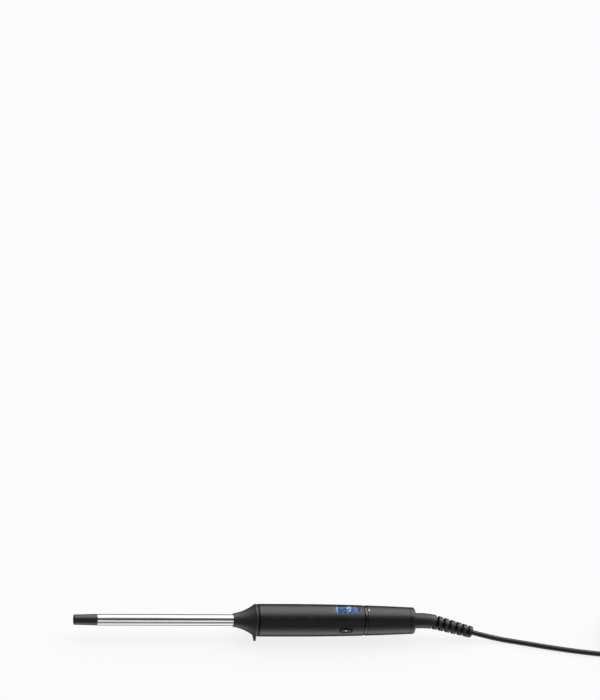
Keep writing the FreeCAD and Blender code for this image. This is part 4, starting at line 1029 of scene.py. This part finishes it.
def make_plug():
    """A flat moulded two-pin plug with finger ribs on its waist, its ringed strain relief and its pins."""
    low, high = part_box("plug_body")
    middle = (low + high) / 2
    length = high.x - low.x
    count = 150
    rings = []
    for i in range(count + 1):
        travel = length / MM * i / count
        half_width, half_height = plug_section(travel)
        rib = 0.3 * MM * eased((travel - 4.5) / 1.5) * eased((20 - travel) / 1.5)
        dip = rib * (0.5 + 0.5 * math.cos(2 * math.pi * travel / 2.6))
        ring = []
        for angle in angles_round(72):
            c, s = math.cos(angle), math.sin(angle)
            across = math.copysign(abs(c) ** SQUARENESS, c) * (half_width - dip * abs(c))
            up = math.copysign(abs(s) ** SQUARENESS, s) * (half_height - dip * abs(s))
            ring.append(Vector((low.x + travel * MM, middle.y + across, middle.z + up)))
        rings.append(ring)
    body = skin_piece("plug_shell", rings, "plug_plastic", "plug_plastic", "cord_set", "plug_body", sharp=50)
    start, end = start_of("plug_boot"), end_of("plug_boot")
    corners = [(start + 0.3 * MM, 2.65 * MM, 0), (start, 2.9 * MM, 0.1 * MM), (start, 3.6 * MM, 0.3 * MM)]
    for k in range(4):
        near = start + (1.8 + 3 * k) * MM
        outside = (3.7 + 0.33 * k) * MM
        corners += [(near, outside, 0.25 * MM), (near + 0.15 * MM, outside - 0.9 * MM, 0.2 * MM),
                    (near + 1.15 * MM, outside - 0.9 * MM, 0.2 * MM), (near + 1.3 * MM, outside, 0.25 * MM)]
    corners += [(end, 5 * MM, 0), (end + 0.5 * MM, 5 * MM, 0)]
    relief = turned_piece("plug_relief", corners, "plug_plastic", "plug_plastic", "cord_set", "plug_boot",
                          steps=64, middle=middle)
    pins = []
    near, far = start_of("plug_pins"), end_of("plug_pins")
    for side, name in ((PIN_OFFSET, "left"), (-PIN_OFFSET, "right")):
        seat = Vector((0, middle.y + side, middle.z))
        tip = [(near, PIN_RADIUS, 0), (far - 0.2 * MM, PIN_RADIUS, 1.2 * MM), (far, 0.3 * MM, 0)]
        stands_for = ["plug_pins"] if name == "left" else []
        pins.append(turned_piece(f"plug_pin_{name}", tip, "pin_metal", "pin_metal", "cord_set", *stands_for,
                                 steps=48, middle=seat))
        last = near + SLEEVE_LENGTH
        sleeve = [(near - 0.3 * MM, 2.0 * MM, 0), (last, 2.0 * MM, 0.2 * MM), (last, 1.9 * MM, 0)]
        pins.append(turned_piece(f"pin_sleeve_{name}", sleeve, "plug_plastic", "plug_plastic", "cord_set",
                                 steps=48, middle=seat))
    return [body, relief, *pins]


# ---- floor and light ----


def add_floor():
    form = bmesh.new()
    bmesh.ops.create_grid(form, x_segments=8, y_segments=8, size=30)
    mesh = bpy.data.meshes.new("floor")
    form.to_mesh(mesh)
    form.free()
    floor = placed("floor", mesh)
    paint = Paint("floor_paper", (0.12, 0.12, 0.12), 0.9, Specular_IOR_Level=0.0, Emission_Strength=0.84)
    paint.shader.inputs["Emission Color"].default_value = (1, 1, 1, 1)
    mesh.materials.append(paint.material)
    floor.visible_glossy = False


# brightness of the studio at angles about the wand's axis: 0 is level in front, 90 overhead, -90 below
STUDIO_ROUND = [(-180, 0.04), (-108, 0.04), (-90, 0.3), (-78, 1.5), (-66, 1.7), (-54, 1.6), (-40, 0.8),
                (-24, 0.45), (-10, 0.12), (4, 0.16), (14, 0.26), (26, 0.14), (44, 0.04), (56, 0.1), (68, 0.22),
                (77, 0.5), (88, 1.7), (98, 2.3), (128, 2.3), (150, 1.5), (164, 0.2), (180, 0.04)]
# and its strength along the wand, from beyond the tip at -1 to beyond the lead at 1
STUDIO_ALONG = [(-1.0, 0.02), (-0.85, 0.03), (-0.55, 0.4), (-0.2, 1.0), (0.22, 1.0), (0.45, 1.5), (0.8, 1.6),
                (0.96, 0.3), (1.0, 0.1)]


def add_studio():
    """Soft strips of light along the wand, as bands of brightness about its axis that end beyond its ends."""
    world = bpy.data.worlds.new("studio")
    bpy.context.scene.world = world
    world.use_nodes = True
    nodes = Nodes(world.node_tree)
    way = nodes.axes(nodes.node("ShaderNodeTexCoord").outputs["Generated"])
    front = nodes.node("ShaderNodeMath", operation="MULTIPLY")
    front.inputs[1].default_value = -1
    nodes.link(way["Y"], front.inputs[0])
    turned = nodes.node("ShaderNodeCombineXYZ")
    nodes.link(front.outputs[0], turned.inputs["X"])
    nodes.link(way["Z"], turned.inputs["Y"])
    sweep = nodes.node("ShaderNodeTexGradient", gradient_type="RADIAL")
    nodes.link(turned.outputs["Vector"], sweep.inputs["Vector"])
    along = nodes.scaled(way["X"], 0, 1, -1, 1)
    strength, light = 1.0, []
    for source, levels in ((sweep.outputs["Fac"], STUDIO_ROUND), (along, STUDIO_ALONG)):
        low, high = levels[0][0], levels[-1][0]
        brightest = max(level for _, level in levels)
        strength *= brightest
        stops = [((spot - low) / (high - low), [level / brightest] * 3) for spot, level in levels]
        light.append(nodes.ramp(source, stops))
    sky = nodes.tree.nodes["Background"]
    sky.inputs["Strength"].default_value = strength
    nodes.link(nodes.product(*light, 1), sky.inputs["Color"])


STRIP_LENGTH, STRIP_HEIGHT, STRIP_WATTS = 3.0, 0.75, 9.0
STRIP_RISE, STRIP_LEAN, STRIP_MIDDLE, STRIP_DISTANCE = math.radians(14), -0.1, -0.08, 1.5


def add_barrel_strip(barrel):
    """A soft strip in front of the wand that only the polished barrel picks up."""
    data = bpy.data.lights.new("barrel_strip", "AREA")
    data.shape = "RECTANGLE"
    data.size, data.size_y, data.energy = STRIP_LENGTH, STRIP_HEIGHT, STRIP_WATTS
    strip = placed("barrel_strip", data)
    way = Vector((STRIP_LEAN, -math.cos(STRIP_RISE), math.sin(STRIP_RISE)))
    strip.location = Vector((STRIP_MIDDLE, 0, AXIS_HEIGHT)) + way * STRIP_DISTANCE
    strip.rotation_euler = way.to_track_quat("Z", "Y").to_euler()
    lit = bpy.data.collections.new("barrel_light")
    lit.objects.link(barrel)
    strip.light_linking.receiver_collection = lit


def paint_cad_nodes():
    """Gives each carried-over CAD node the material of its slot in the record."""
    slots = {part["node"]: part["material_slot"] for part in frame["record"]["subparts"]}
    for name, node in frame["nodes"].items():
        node.data.materials.clear()
        node.data.materials.append(MATERIALS[slots[name]])


add_camera()
make_materials()
paint_cad_nodes()
lead, exit_point = make_cord()
make_tip_cap()
barrel = make_barrel()
make_guard()
make_grip()
make_lens()
make_reading()
make_button()
make_rear_rings()
make_dial_marks()
boot = make_boot()
straps = make_tie()
plug = make_plug()
add_floor()
add_studio()
add_barrel_strip(barrel)
bpy.context.scene.view_settings.view_transform = "Standard"
